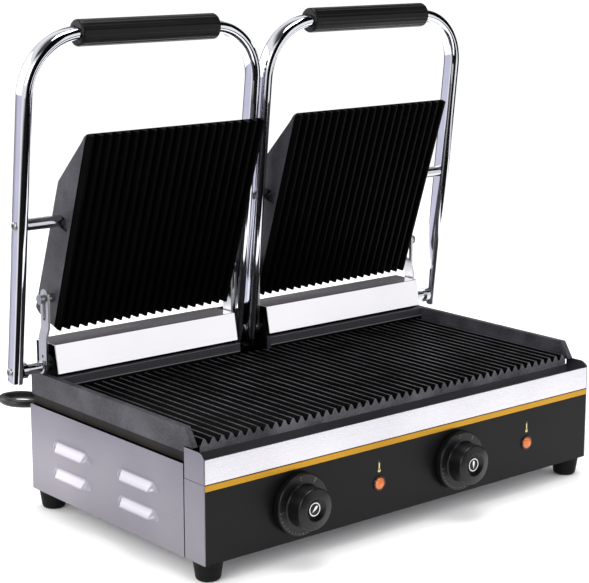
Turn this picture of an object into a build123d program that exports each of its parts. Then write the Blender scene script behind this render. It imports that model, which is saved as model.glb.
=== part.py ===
"""Double contact grill with two counterbalanced lids, modelled with the lids open.

Units are millimetres. +X is the user's right, +Y is towards the back, +Z is up. The origin is on the
table, midway between the two sides and midway between the knobs and the back of the raised lids.
Each lid is modelled level, pointing at the user, and then swung up about the hinge to its open rest.
"""
from build123d import *
from math import acos, asin, atan2, ceil, cos, degrees, pi, radians, sin, sqrt, tan
import os

os.makedirs("parts", exist_ok=True)

# Body of folded sheet
body_width = 480
body_depth = 272
side_height = 83.5
front_height = 71
front_return = 27.8
front_setback = 129.5
sheet = 1.0
panel_fit = 0.1
seam = 1.2
flange = 10
foot_height = 18
foot_top_radius = 13.5
foot_tip_radius = 11
foot_inset = 14
foot_edge_round = 3.2

# Control panel
fascia_thickness = 1.0
stripe_height = 5.6
stripe_drop = 0.4
knob_xs = {"left": -138.5, "right": 56}
knob_height = 34.3
lamp_xs = [-42, 152.7]
lamp_height = 31.3
knob_skirt_radius = 28
knob_skirt_height = 7.5
knob_skirt_edge = 0.7
knob_cap_radius = 19
knob_depth = 25.8
knob_dish_radius = 10.5
knob_dish_depth = 3.1
knob_face_slope = 1.3
knob_gap = 0.8
knob_disc_radius = 6.3
knob_disc_thickness = 0.6
knob_shaft_radius = 3
thermostat_size = (34, 24, 30)
lamp_radius = 6
lens_radius = 5.4
lens_bulge = 3.2
bezel_rim = 1.0
bezel_thickness = 1.4
lamp_body_length = 18

# Side louvres
louvre_length = 63
louvre_height = 10.5
louvre_depth = 5
louvre_from_front = [97, 203]
louvre_sills = [22, 47]

# Cast lower plate
plate_inset = 2
wall_thickness = 6
wall_slope_run = 10.2
wall_above_body = 31.5
rib_top_above_body = 20.5
rib_height = 5
rib_pitch = 9.75
rib_root = 7.6
rib_tip = 2.2
web_thickness = 6
lip_setback = 20
rear_wall_from_rear = 41
skirt_inset = 4
skirt_thickness = 5
tray_pocket = 30
element_inset = 42
element_from_middle = 40
element_from_lip = 61
element_from_wall = 10

# Drip tray
tray_depth = 27.5
tray_front_height = 21.7
tray_rear_drop = 1.6
tray_cap_rise = 5.4
tray_seat_gap = 0.3
tray_plate_gap = 0.5

# Lid geometry, seen from the side with the lid level
hinge_from_rear = 18.3
hinge_above_wall = 7.0
rod_reach = 140.4
grip_reach = 312.6
arm_lean = 6.1
plate_lean = 17.8
closed_gap = 3.5
left_settle = 0.8
shaft_radius = 5
rod_radius = 5.6
running_clearance = 0.07
tube_width = 18
tube_thickness = 11
tube_wall = 1.5
tube_bend = 54.5
tube_tail = 9.8
outer_arm_from_side = 26
inner_arm_from_middle = 8.8
grip_radius = 12.3
grip_length = 154
grip_bore_clearance = 0.2
grip_edge_round = 2
screw_radius = 2.5
screw_head_radius = 4.6
screw_head_height = 1.8

# Cast upper plates
upper_length = 198.5
upper_from_side = 16
upper_from_middle = 20
upper_corner_radius = 4
rod_from_front = 94.2
rod_above_ribs = 23.3
casting_wall = 5
casting_web = 6
nose_height = 10.5
nose_length = 11
slope_end = 60
shoulder_height = 35.5
heel_height = 39
heel_inset = 5.5
back_cover_thickness = 1.5
back_cover_height = 33
back_cover_fit = 0.4
post_radius = 5
element_radius = 4
upper_element_radius = 2.8
upper_element_inset = 24
rod_recess_depth = 3
rod_recess_above_ribs = 9.5

# Guide links
link_bolt_from_rod = 75.8
link_bolt_above_ribs = 14.9
link_width = 13
link_thickness = 2.3
link_joggle = 2.8
link_foot_from_side = 3.8
link_slot_travel = 18.5
link_slot_clearance = 0.35
link_side_gap = 0.4
inner_link_gap = 1.1
bolt_radius = 2.5
bolt_disc_radius = 4.7
bolt_disc_thickness = 1.3

# Hinge housings
cover_end_fit = 0.3
cover_middle_half = 20.6
cover_front_from_rear = 38.3
cover_front_rake = 5.3
cover_above_body = 61.5
cover_bottom_above_wall = 2.6
bracket_thickness = 3
bracket_end_gap = 2
bracket_half_depth = 13
bracket_crown = 11
bracket_foot = 18
back_stop_from_rear = 2
back_stop_foot = 14
back_stop_thickness = 2
spring_wire_radius = 1.5
spring_turns = 9
spring_pitch = 3.5
spring_clearance = 0.3
bushing_radius = 8
collar_radius = 7.5
collar_length = 5
ring_radius = 6.3
ring_length = 1.8

# Mains lead
cord_radius = 4
gland_radius = 9
gland_from_left = 75
gland_height = 72
relief_length = 42
relief_radius = 7
loop_beyond_side = 8.5
coil_from_left = 235
coil_from_rear = 69
coil_outer_radius = 54
coil_gap = 0.8
coil_lift = 1.2
coil_climb_step = 1.0
plug_radius = 12.4
plug_length = 36
pin_radius = 2.4
pin_length = 19
pin_spacing = 19
tie_width = 10
tie_thickness = 0.8
tie_slack = 0.3

# Levels and edges that follow from the sizes
half_width = body_width / 2
front_y = -front_setback
rear_y = front_y + body_depth
base_z = foot_height
side_top_z = base_z + side_height
front_top_z = base_z + front_height
inner_half = half_width - sheet - panel_fit
panel_back_y = front_y + fascia_thickness + sheet
knob_z = base_z + knob_height
lamp_z = base_z + lamp_height
plate_half = half_width - plate_inset
wall_top_z = side_top_z + wall_above_body
rib_top_z = side_top_z + rib_top_above_body
web_top_z = rib_top_z - rib_height
web_bottom_z = web_top_z - web_thickness
lip_y = front_y + lip_setback
rear_wall_y = rear_y - rear_wall_from_rear
lower_rib_count = int((2 * (plate_half - wall_thickness) - rib_root) / rib_pitch) + 1
hinge_y = rear_y - hinge_from_rear
hinge_z = wall_top_z + hinge_above_wall
cover_top_z = side_top_z + cover_above_body
outer_arm_x = -half_width - outer_arm_from_side
inner_arm_x = -inner_arm_from_middle
plate_left_x = -half_width + upper_from_side
plate_right_x = -upper_from_middle
upper_width = plate_right_x - plate_left_x
plate_middle_x = plate_left_x + upper_width / 2
upper_rib_count = int((upper_width - rib_root) / rib_pitch) + 1
level_rod_y = hinge_y - rod_reach
level_rib_z = hinge_z - rod_above_ribs


def box_between(x, y, z, mode=Mode.ADD):
    """A box given by its lower and upper limits along each axis."""
    with Locations(((x[0] + x[1]) / 2, (y[0] + y[1]) / 2, (z[0] + z[1]) / 2)):
        Box(x[1] - x[0], y[1] - y[0], z[1] - z[0], mode=mode)


def finish(part, name):
    """Name a finished piece and write it."""
    part.label = name
    export_step(part, "parts/" + name + ".step")


# Bottom pan, a shallow tray of sheet inside the four panels
pan_rim = 12
with BuildPart() as bottom_pan:
    pan_x = (-inner_half, inner_half)
    pan_y = (panel_back_y + panel_fit, rear_y - sheet - panel_fit)
    box_between(pan_x, pan_y, (base_z, base_z + pan_rim))
    box_between(
        (pan_x[0] + sheet, pan_x[1] - sheet),
        (pan_y[0] + sheet, pan_y[1] - sheet),
        (base_z + sheet, base_z + pan_rim + sheet),
        Mode.SUBTRACT,
    )
finish(bottom_pan.part, "bottom_pan")

# Rubber feet, tapered, with the screws that hold them to the pan
foot_spots = [
    (sx * (half_width - foot_inset), y)
    for sx in (-1, 1)
    for y in (front_y + foot_inset, rear_y - foot_inset)
]
foot_screw_radius = 2
with BuildPart() as feet:
    with Locations(*[(x, y, base_z / 2) for x, y in foot_spots]):
        Cone(foot_tip_radius, foot_top_radius, foot_height)
    rings = feet.edges().filter_by(GeomType.CIRCLE)
    fillet(rings.filter_by(lambda ring: ring.radius < foot_tip_radius + 0.01), foot_edge_round)
    with Locations(*[(x, y, base_z / 2) for x, y in foot_spots]):
        with Locations((0, 0, -foot_height / 2 + 2)):
            Cylinder(foot_screw_radius + 2, 4, mode=Mode.SUBTRACT)
        Cylinder(foot_screw_radius, foot_height, mode=Mode.SUBTRACT)
finish(feet.part, "feet")

with BuildPart() as foot_screws:
    with Locations(*[(x, y, 4) for x, y in foot_spots]):
        Cylinder(foot_screw_radius, foot_height - 4, align=(Align.CENTER, Align.CENTER, Align.MIN))
        Cylinder(foot_screw_radius + 1.8, 1.5, align=(Align.CENTER, Align.CENTER, Align.MAX))
finish(foot_screws.part, "foot_screws")

# Side panels, each with a top flange under the casting and four pressed louvres
side_front_y = front_y + front_return + seam
with BuildPart() as right_side:
    box_between((half_width - sheet, half_width), (side_front_y, rear_y), (base_z, side_top_z))
    box_between(
        (half_width - flange, half_width),
        (side_front_y, rear_y - sheet - panel_fit),
        (side_top_z - sheet, side_top_z),
    )
    for middle in louvre_from_front:
        for sill in louvre_sills:
            start_y = front_y + middle + louvre_length / 2
            sill_z = base_z + sill
            face_x = half_width - sheet
            for inset, mode in ((0, Mode.ADD), (sheet, Mode.SUBTRACT)):
                reach = half_width + louvre_depth - inset
                crown_z = sill_z + louvre_height - inset
                foot_z = sill_z - 2 * inset
                back_x = face_x - inset
                with BuildSketch(Plane.XZ.offset(-start_y + inset)) as hood:
                    with BuildLine():
                        Polyline((half_width, crown_z), (back_x, crown_z), (back_x, foot_z), (reach, foot_z))
                        ThreePointArc(
                            (reach, foot_z),
                            (half_width + 0.78 * (reach - half_width), sill_z + 0.62 * (crown_z - sill_z)),
                            (half_width, crown_z),
                        )
                    make_face()
                extrude(amount=louvre_length - 2 * inset, mode=mode)
left_side = mirror(right_side.part, about=Plane.YZ)
finish(right_side.part, "right_side_panel")
finish(left_side, "left_side_panel")

# Mains lead outlet, in the panel's frame
gland_x = -half_width + gland_from_left
gland_z = base_z + gland_height
gland_stem_radius = gland_radius - 2.5

# Rear panel between the side panels
with BuildPart() as rear_panel:
    box_between((-inner_half, inner_half), (rear_y - sheet, rear_y), (base_z, side_top_z))
    with Locations(Location((gland_x, rear_y, gland_z), (90, 0, 0))):
        Cylinder(gland_stem_radius, 4 * sheet, mode=Mode.SUBTRACT)
finish(rear_panel.part, "rear_panel")


def panel_openings(x_knobs, x_lamps, clearance):
    """Holes for the knob shafts and the lamps, drilled along Y through a front sheet."""
    with Locations(*[Location((x, front_y, knob_z), (90, 0, 0)) for x in x_knobs]):
        Cylinder(knob_shaft_radius + 2.5, 8 * sheet, mode=Mode.SUBTRACT)
    with Locations(*[Location((x, front_y, lamp_z), (90, 0, 0)) for x in x_lamps]):
        Cylinder(lamp_radius + clearance, 8 * sheet, mode=Mode.SUBTRACT)


# Folded front panel: front sheet, side returns and a ledge that carries the drip tray
with BuildPart() as front_panel:
    across = (-half_width, half_width)
    box_between(across, (front_y + fascia_thickness, panel_back_y), (base_z, front_top_z))
    for side in (-1, 1):
        edges = sorted((side * half_width, side * (half_width - sheet)))
        box_between(edges, (front_y, front_y + front_return), (base_z, front_top_z))
    ledge_y = (front_y + fascia_thickness, front_y + front_return)
    box_between(across, ledge_y, (front_top_z - sheet, front_top_z))
    panel_openings(knob_xs.values(), lamp_xs, panel_fit)
finish(front_panel.part, "front_panel")

# Black control fascia with a gilt stripe above it
stripe_top_z = front_top_z - stripe_drop
stripe_bottom_z = stripe_top_z - stripe_height
plate_y = (front_y, front_y + fascia_thickness)
with BuildPart() as fascia:
    box_between((-inner_half, inner_half), plate_y, (base_z, stripe_bottom_z - panel_fit))
    panel_openings(knob_xs.values(), lamp_xs, panel_fit)
finish(fascia.part, "control_fascia")

with BuildPart() as stripe:
    box_between((-inner_half, inner_half), plate_y, (stripe_bottom_z, stripe_top_z))
finish(stripe.part, "trim_stripe")

# Indicator lamps: a bezel and body pushed through the panel, with a domed lens in front
lamp_frames = [Plane(origin=(x, front_y, lamp_z), x_dir=(1, 0, 0), z_dir=(0, -1, 0)) for x in lamp_xs]
lens_seat = 6
with BuildPart() as lamp_holders:
    for frame in lamp_frames:
        with BuildSketch(frame):
            Circle(lamp_radius + bezel_rim)
        extrude(amount=bezel_thickness)
        with BuildSketch(frame):
            Circle(lamp_radius)
        extrude(amount=-lamp_body_length)
        with BuildSketch(frame.offset(bezel_thickness)):
            Circle(lens_radius + panel_fit)
        extrude(amount=-lens_seat, mode=Mode.SUBTRACT)
finish(lamp_holders.part, "lamp_holders")

dome_radius = (lens_radius**2 + lens_bulge**2) / (2 * lens_bulge)
with BuildPart() as lamp_lenses:
    for frame in lamp_frames:
        profile_plane = Plane(origin=frame.origin, x_dir=(1, 0, 0), z_dir=(0, 0, 1))
        lens_front = -bezel_thickness
        with BuildSketch(profile_plane):
            with BuildLine():
                Polyline(
                    (0, lens_front - lens_bulge),
                    (0, lens_front + lens_seat),
                    (lens_radius, lens_front + lens_seat),
                    (lens_radius, lens_front),
                )
                RadiusArc((lens_radius, lens_front), (0, lens_front - lens_bulge), dome_radius)
            make_face()
        revolve(axis=Axis(frame.origin, (0, 1, 0)))
finish(lamp_lenses.part, "lamp_lenses")

# Thermostats behind the panel, one for each knob
shaft_end_y = panel_back_y + 0.8 * thermostat_size[1]
with BuildPart() as thermostats:
    for x in knob_xs.values():
        with Locations((x, panel_back_y + thermostat_size[1] / 2, knob_z)):
            Box(*thermostat_size)
        with Locations(Location((x, (panel_back_y + shaft_end_y) / 2, knob_z), (90, 0, 0))):
            Cylinder(knob_shaft_radius + running_clearance, shaft_end_y - panel_back_y, mode=Mode.SUBTRACT)
finish(thermostats.part, "thermostats")

# Control knobs: a wide flat skirt, a raised cap with a dished face, a shaft and a centre disc
knob_back_y = front_y - knob_gap
knob_front_y = front_y - knob_depth
skirt_front_y = knob_back_y - knob_skirt_height
dish_floor_y = knob_front_y + knob_dish_depth
for name, x in knob_xs.items():
    knob_axis = Axis((x, front_y, knob_z), (0, 1, 0))
    knob_plane = Plane(origin=(x, 0, knob_z), x_dir=(1, 0, 0), z_dir=(0, 0, 1))
    bore_end_y = knob_front_y + 8
    with BuildPart() as knob:
        with BuildSketch(knob_plane):
            with BuildLine():
                Polyline(
                    (knob_shaft_radius, knob_back_y),
                    (knob_skirt_radius, knob_back_y),
                    (knob_skirt_radius, skirt_front_y + knob_skirt_edge),
                    (knob_skirt_radius - knob_skirt_edge, skirt_front_y),
                    (knob_cap_radius + 1, skirt_front_y),
                    (knob_cap_radius, skirt_front_y - 1),
                    (knob_cap_radius, knob_front_y + knob_face_slope + 1),
                    (knob_cap_radius - 0.8, knob_front_y + knob_face_slope),
                    (knob_dish_radius, knob_front_y),
                    (knob_disc_radius + 1, dish_floor_y),
                    (0, dish_floor_y),
                    (0, bore_end_y),
                    (knob_shaft_radius, bore_end_y),
                    close=True,
                )
            make_face()
        revolve(axis=knob_axis)
    finish(knob.part, name + "_knob")
    with BuildPart() as knob_shaft:
        with Locations(Location((x, (bore_end_y + shaft_end_y - 1) / 2, knob_z), (90, 0, 0))):
            Cylinder(knob_shaft_radius, shaft_end_y - 1 - bore_end_y)
    finish(knob_shaft.part, name + "_knob_shaft")
    with BuildPart() as knob_disc:
        with BuildSketch(Plane.XZ.offset(-dish_floor_y)):
            with Locations((x, knob_z)):
                Circle(knob_disc_radius)
        extrude(amount=knob_disc_thickness)
    finish(knob_disc.part, name + "_knob_disc")

# Drip tray along the front: an open trough with raised end caps, drawn forward to empty it
tray_bottom_z = front_top_z + tray_seat_gap
tray_front_top_z = tray_bottom_z + tray_front_height
tray_rear_top_z = web_bottom_z - tray_rear_drop
tray_cap_top_z = tray_front_top_z + tray_cap_rise
tray_rear_y = front_y + tray_depth
with BuildPart() as tray:
    box_between((-inner_half, inner_half), (front_y, tray_rear_y), (tray_bottom_z, tray_front_top_z))
    trough_y = (front_y + sheet, tray_rear_y - sheet)
    box_between(across, trough_y, (tray_bottom_z + sheet, tray_cap_top_z), Mode.SUBTRACT)
    rear_wall_top = (tray_rear_y - 2 * sheet, tray_rear_y + sheet)
    box_between(across, rear_wall_top, (tray_rear_top_z, tray_cap_top_z), Mode.SUBTRACT)
finish(tray.part, "drip_tray")

cap_round = 5
with BuildPart() as tray_caps:
    for side in (-1, 1):
        with BuildSketch(Plane.YZ.offset(side * (half_width - sheet / 2))):
            with BuildLine():
                Polyline(
                    (front_y + 11.5, tray_cap_top_z),
                    (tray_rear_y, tray_cap_top_z),
                    (tray_rear_y, tray_bottom_z),
                    (front_y, tray_bottom_z),
                    (front_y, tray_front_top_z + 0.5),
                )
                ThreePointArc(
                    (front_y, tray_front_top_z + 0.5),
                    (front_y + 4, tray_cap_top_z - 1.3),
                    (front_y + 11.5, tray_cap_top_z),
                )
            make_face()
        extrude(amount=sheet / 2, both=True)
finish(tray_caps.part, "tray_end_caps")

# Cast lower plate: ribbed cooking face, walls on three sides, open at the front above the tray
cap_clear_z = tray_cap_top_z + tray_plate_gap
cap_clear_x = half_width - 11
leg_notch_half = inner_arm_from_middle + tube_thickness
with BuildPart() as lower_plate:
    box_between((-plate_half, plate_half), (lip_y, rear_y), (web_bottom_z, web_top_z))
    for side in (-1, 1):
        wall_x = side * (plate_half - wall_thickness / 2)
        with BuildSketch(Plane.YZ.offset(wall_x)):
            Polygon(
                (lip_y - 1.6, cap_clear_z),
                (lip_y - 1.6 + wall_slope_run, wall_top_z),
                (rear_y, wall_top_z),
                (rear_y, web_bottom_z),
                (lip_y, web_bottom_z),
                (lip_y, cap_clear_z),
                align=None,
            )
        extrude(amount=wall_thickness / 2, both=True)
        skirt_outer = side * (plate_half - skirt_inset + 2)
        skirt_inner = side * (plate_half - skirt_inset + 2 - skirt_thickness)
        skirt_x = sorted((skirt_outer, skirt_inner))
        box_between(skirt_x, (front_y + tray_pocket, rear_y), (side_top_z, web_bottom_z))
        notch_x = sorted((side * cap_clear_x, side * half_width))
        notch_y = (lip_y - 2, front_y + tray_pocket - 0.5)
        box_between(notch_x, notch_y, (web_bottom_z - 1, cap_clear_z), Mode.SUBTRACT)
    rear_wall_ys = (rear_wall_y, rear_wall_y + wall_thickness)
    box_between((-plate_half, plate_half), rear_wall_ys, (web_bottom_z, wall_top_z))
    box_between(
        (-plate_half + 2 * skirt_thickness, plate_half - 2 * skirt_thickness),
        (rear_y - skirt_thickness, rear_y),
        (side_top_z, web_bottom_z),
    )
    box_between(
        (-leg_notch_half, leg_notch_half),
        (rear_wall_y - 1, rear_wall_y + wall_thickness + 1),
        (web_top_z, wall_top_z + 1),
        Mode.SUBTRACT,
    )
    with BuildSketch(Plane.XZ.offset(-rear_wall_y)):
        with GridLocations(rib_pitch, 1, lower_rib_count, 1):
            Polygon(
                (-rib_root / 2, web_top_z - 0.5),
                (rib_root / 2, web_top_z - 0.5),
                (rib_root / 2, web_top_z),
                (rib_tip / 2, rib_top_z),
                (-rib_tip / 2, rib_top_z),
                (-rib_root / 2, web_top_z),
                align=None,
            )
    extrude(amount=rear_wall_y - lip_y)
finish(lower_plate.part, "lower_plate")

# Tubular heating elements under the lower plate, with a shield pan below them
element_z = web_bottom_z - element_radius
element_far_x = plate_half - element_inset
element_pitch = (element_far_x - element_from_middle) / 3
element_bend = 0.42 * element_pitch
element_front_y = lip_y + element_from_lip
element_end_y = rear_wall_y - element_from_wall
element_turn_y = rear_wall_y - 3 * element_from_wall
with BuildPart() as lower_elements:
    for side in (-1, 1):
        leg_x = [side * (element_from_middle + i * element_pitch) for i in range(4)]
        with BuildLine() as loop:
            FilletPolyline(
                (leg_x[0], element_end_y, element_z),
                (leg_x[0], element_front_y, element_z),
                (leg_x[1], element_front_y, element_z),
                (leg_x[1], element_turn_y, element_z),
                (leg_x[2], element_turn_y, element_z),
                (leg_x[2], element_front_y, element_z),
                (leg_x[3], element_front_y, element_z),
                (leg_x[3], element_end_y, element_z),
                radius=element_bend,
            )
        with BuildSketch(Plane(origin=loop.line @ 0, z_dir=loop.line % 0)):
            Circle(element_radius)
        sweep(path=loop.line)
finish(lower_elements.part, "lower_elements")

shield_depth = 14
with BuildPart() as heat_shield:
    shield_x = (-plate_half + 20, plate_half - 20)
    shield_y = (front_y + tray_pocket + 4, rear_y - 3 * skirt_thickness)
    box_between(shield_x, shield_y, (web_bottom_z - shield_depth, web_bottom_z))
    box_between(
        (shield_x[0] + sheet, shield_x[1] - sheet),
        (shield_y[0] + sheet, shield_y[1] - sheet),
        (web_bottom_z - shield_depth + sheet, web_bottom_z + sheet),
        Mode.SUBTRACT,
    )
finish(heat_shield.part, "heat_shield")

# Hinge brackets bolted to the casting behind the cooking face, two for each lid, and an upright
# plate between the two covers, behind the middle legs
cover_end_x = plate_half - wall_thickness - cover_end_fit
outer_bracket_x = cover_end_x - bracket_end_gap - bracket_thickness / 2
inner_bracket_x = cover_middle_half + bracket_end_gap + bracket_thickness / 2
bracket_bore = shaft_radius + running_clearance
bracket_spots = [
    (side * x, side * toward)
    for side in (-1, 1)
    for x, toward in ((outer_bracket_x, -1), (inner_bracket_x, 1))
]
back_stop_y = rear_y - back_stop_from_rear
back_stop_half = cover_middle_half - panel_fit
bracket_screw_spots = [
    (x + toward * (bracket_thickness + bracket_foot) / 2, hinge_y + dy)
    for x, toward in bracket_spots
    for dy in (-bracket_half_depth / 2, bracket_half_depth / 2)
]
bracket_screw_spots += [(side * back_stop_half / 2, back_stop_y - back_stop_foot / 2 - 1.5) for side in (-1, 1)]
bracket_screw_radius = 2.5
with BuildPart() as hinge_brackets:
    for x, toward in bracket_spots:
        with BuildSketch(Plane.YZ.offset(x)):
            Polygon(
                (hinge_y - bracket_half_depth, web_top_z),
                (hinge_y + bracket_half_depth, web_top_z),
                (hinge_y + bracket_crown, hinge_z),
                (hinge_y - bracket_crown, hinge_z),
                align=None,
            )
            with Locations((hinge_y, hinge_z)):
                Circle(bracket_crown)
                Circle(bracket_bore, mode=Mode.SUBTRACT)
        extrude(amount=bracket_thickness / 2, both=True)
        foot_x = sorted((x, x + toward * (bracket_thickness / 2 + bracket_foot)))
        foot_y = (hinge_y - bracket_half_depth, hinge_y + bracket_half_depth)
        box_between(foot_x, foot_y, (web_top_z, web_top_z + bracket_thickness))
    for depth, top_z in ((back_stop_thickness, cover_top_z), (back_stop_foot, web_top_z + bracket_thickness)):
        box_between((-back_stop_half, back_stop_half), (back_stop_y - depth, back_stop_y), (web_top_z, top_z))
    with Locations(*[(x, y, web_top_z) for x, y in bracket_screw_spots]):
        Cylinder(bracket_screw_radius, 4 * bracket_thickness, mode=Mode.SUBTRACT)
finish(hinge_brackets.part, "hinge_brackets")

with BuildPart() as bracket_screws:
    with Locations(*[(x, y, web_top_z) for x, y in bracket_screw_spots]):
        Cylinder(bracket_screw_radius, bracket_thickness, align=(Align.CENTER, Align.CENTER, Align.MIN))
        with Locations((0, 0, bracket_thickness)):
            Cylinder(bracket_screw_radius + 2, 2.5, align=(Align.CENTER, Align.CENTER, Align.MIN))
finish(bracket_screws.part, "bracket_screws")

# Hinge covers, bent from sheet: raked front, flat top, straight back
cover_front_y = rear_y - cover_front_from_rear
cover_bottom_z = wall_top_z + cover_bottom_above_wall
rake_sheet = sheet / cos(atan2(cover_front_rake, cover_top_z - cover_bottom_z))
with BuildPart() as right_cover:
    with BuildSketch(Plane.YZ.offset(cover_middle_half)):
        Polygon(
            (cover_front_y, cover_bottom_z),
            (cover_front_y + cover_front_rake, cover_top_z),
            (rear_y, cover_top_z),
            (rear_y, web_top_z),
            (rear_y - sheet, web_top_z),
            (rear_y - sheet, cover_top_z - sheet),
            (cover_front_y + cover_front_rake + rake_sheet, cover_top_z - sheet),
            (cover_front_y + rake_sheet, cover_bottom_z),
            align=None,
        )
    extrude(amount=cover_end_x - cover_middle_half)
left_cover = mirror(right_cover.part, about=Plane.YZ)
finish(right_cover.part, "right_hinge_cover")
finish(left_cover, "left_hinge_cover")

# Counterbalance springs, wound round a bushing on each hinge shaft
spring_radius = bushing_radius + spring_clearance + spring_wire_radius
spring_length = spring_turns * spring_pitch
spring_start = outer_bracket_x - bracket_thickness / 2 - bracket_foot - spring_length - 8
with BuildPart() as right_spring:
    with BuildLine() as winding:
        spring_origin = (spring_start, hinge_y, hinge_z)
        Helix(spring_pitch, spring_length, spring_radius, center=spring_origin, direction=(1, 0, 0))
    with BuildSketch(Plane(origin=winding.line @ 0, z_dir=winding.line % 0)):
        Circle(spring_wire_radius)
    sweep(path=winding.line, is_frenet=True)
left_spring = mirror(right_spring.part, about=Plane.YZ)
finish(right_spring.part, "right_spring")
finish(left_spring, "left_spring")

# Where the guide link's bolt sits, and how the lid's three bodies lie when the lid is level
level_bolt_y = level_rod_y + link_bolt_from_rod
level_bolt_z = level_rib_z + link_bolt_above_ribs
hinge_axis = Axis((0, hinge_y, hinge_z), (1, 0, 0))
rod_axis = Axis((0, level_rod_y, hinge_z), (1, 0, 0))
arm_swing = arm_lean - 90
plate_tilt = plate_lean - arm_lean

bolt_arm = sqrt(link_bolt_from_rod**2 + (level_bolt_z - hinge_z) ** 2)
bolt_arm_angle = atan2(level_bolt_z - hinge_z, link_bolt_from_rod) + radians(plate_tilt)
bolt_y = level_rod_y + bolt_arm * cos(bolt_arm_angle)
bolt_z = hinge_z + bolt_arm * sin(bolt_arm_angle)
open_slot_reach = sqrt((hinge_y - bolt_y) ** 2 + (bolt_z - hinge_z) ** 2)
link_swing = arm_swing - degrees(atan2(bolt_z - hinge_z, hinge_y - bolt_y))

# Closed position: the ribbed faces lie parallel, a small gap apart
closed_rise = asin((rib_top_z + closed_gap + rod_above_ribs - hinge_z) / rod_reach)
lid_travel = 90 - arm_lean - degrees(closed_rise)
tilt_travel = 90 - plate_lean - lid_travel
closed_bolt_angle = atan2(level_bolt_z - hinge_z, link_bolt_from_rod) + closed_rise
closed_bolt_y = level_rod_y + bolt_arm * cos(closed_bolt_angle)
closed_bolt_z = hinge_z + bolt_arm * sin(closed_bolt_angle)
closed_link_angle = degrees(atan2(closed_bolt_z - hinge_z, hinge_y - closed_bolt_y))
link_travel = arm_swing - closed_link_angle - link_swing
print("lid travel", round(lid_travel, 3), "tilt", round(tilt_travel, 3), "link", round(link_travel, 3))
print("hinge y z", round(hinge_y, 3), round(hinge_z, 3))
rod_open_y = hinge_y - rod_reach * sin(radians(arm_lean))
rod_open_z = hinge_z + rod_reach * cos(radians(arm_lean))
print("rod y z when open", round(rod_open_y, 3), round(rod_open_z, 3))
tilt_ratio = tilt_travel / lid_travel
link_ratio = link_travel / lid_travel
print("tilt per lid degree", round(tilt_ratio, 5), "link per lid degree", round(link_ratio, 5))
settled_arm = radians(arm_lean + left_settle)
left_rod_y = hinge_y - rod_reach * sin(settled_arm)
left_rod_z = hinge_z + rod_reach * cos(settled_arm)
print("left rod y z when settled", round(left_rod_y, 3), round(left_rod_z, 3))


def with_arm(part, settle):
    """A level piece of the handle frame, swung up to its open rest less the settle in degrees."""
    return part.rotate(hinge_axis, arm_swing + settle)


def with_plate(part, settle):
    """A level piece of the upper plate, tilted on the cross rod and swung up with the arm."""
    return part.rotate(rod_axis, plate_tilt + settle * tilt_ratio).rotate(hinge_axis, arm_swing + settle)


def with_link(part, settle):
    """A level guide link, swung up about the hinge shaft."""
    return part.rotate(hinge_axis, link_swing + settle * (1 + link_ratio))


def finish_pair(part, name, carry):
    """Write a level piece twice: on the left lid, a little settled, and mirrored on the right lid."""
    finish(carry(part, left_settle), "left_" + name)
    finish(mirror(carry(part, 0), about=Plane.YZ), "right_" + name)


# Handle frame: one flat oval tube bent into a U, open ends at the hinge
tube_ends = hinge_y + tube_tail
tube_top = hinge_y - grip_reach
leg_outer_face = outer_arm_x - tube_thickness / 2
leg_inner_face = outer_arm_x + tube_thickness / 2
middle_leg_face = inner_arm_x - tube_thickness / 2
middle_leg_outer = inner_arm_x + tube_thickness / 2
with BuildPart() as handle:
    with BuildLine() as bend:
        FilletPolyline(
            (outer_arm_x, tube_ends, hinge_z),
            (outer_arm_x, tube_top, hinge_z),
            (inner_arm_x, tube_top, hinge_z),
            (inner_arm_x, tube_ends, hinge_z),
            radius=tube_bend,
        )
    with BuildSketch(Plane(origin=(outer_arm_x, tube_ends, hinge_z), x_dir=(0, 0, 1), z_dir=(0, -1, 0))):
        SlotOverall(tube_width, tube_thickness)
        SlotOverall(tube_width - 2 * tube_wall, tube_thickness - 2 * tube_wall, mode=Mode.SUBTRACT)
    sweep(path=bend.line)
    for y in (hinge_y, level_rod_y):
        with Locations(Location((0, y, hinge_z), (0, 90, 0))):
            Cylinder(screw_radius, 3 * body_width, mode=Mode.SUBTRACT)
finish_pair(handle.part, "handle_tube", with_arm)

# Grip round the top of the frame; its bore follows the bends of the tube
grip_middle = (outer_arm_x + inner_arm_x) / 2
with BuildPart() as grip:
    with BuildSketch(Plane(origin=(grip_middle, tube_top, hinge_z), x_dir=(0, 0, 1), z_dir=(1, 0, 0))):
        Circle(grip_radius)
    extrude(amount=grip_length / 2, both=True)
    fillet(grip.edges().filter_by(GeomType.CIRCLE), grip_edge_round)
    with BuildSketch(Plane(origin=(outer_arm_x, tube_ends, hinge_z), x_dir=(0, 0, 1), z_dir=(0, -1, 0))):
        SlotOverall(tube_width + 2 * grip_bore_clearance, tube_thickness + 2 * grip_bore_clearance)
    sweep(path=bend.line, mode=Mode.SUBTRACT)
finish_pair(grip.part, "grip", with_arm)

# Hinge shaft and cross rod between the legs, tapped at both ends for the frame screws
shaft_length = middle_leg_face - leg_inner_face
shaft_middle = (middle_leg_face + leg_inner_face) / 2
tap_depth = 14
for name, y, radius in (("hinge_shaft", hinge_y, shaft_radius), ("cross_rod", level_rod_y, rod_radius)):
    with BuildPart() as bar:
        with Locations(Location((shaft_middle, y, hinge_z), (0, 90, 0))):
            Cylinder(radius, shaft_length)
            with Locations((0, 0, (shaft_length - tap_depth) / 2), (0, 0, (tap_depth - shaft_length) / 2)):
                Cylinder(screw_radius, tap_depth, mode=Mode.SUBTRACT)
    finish_pair(bar.part, name, with_arm)

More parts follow.
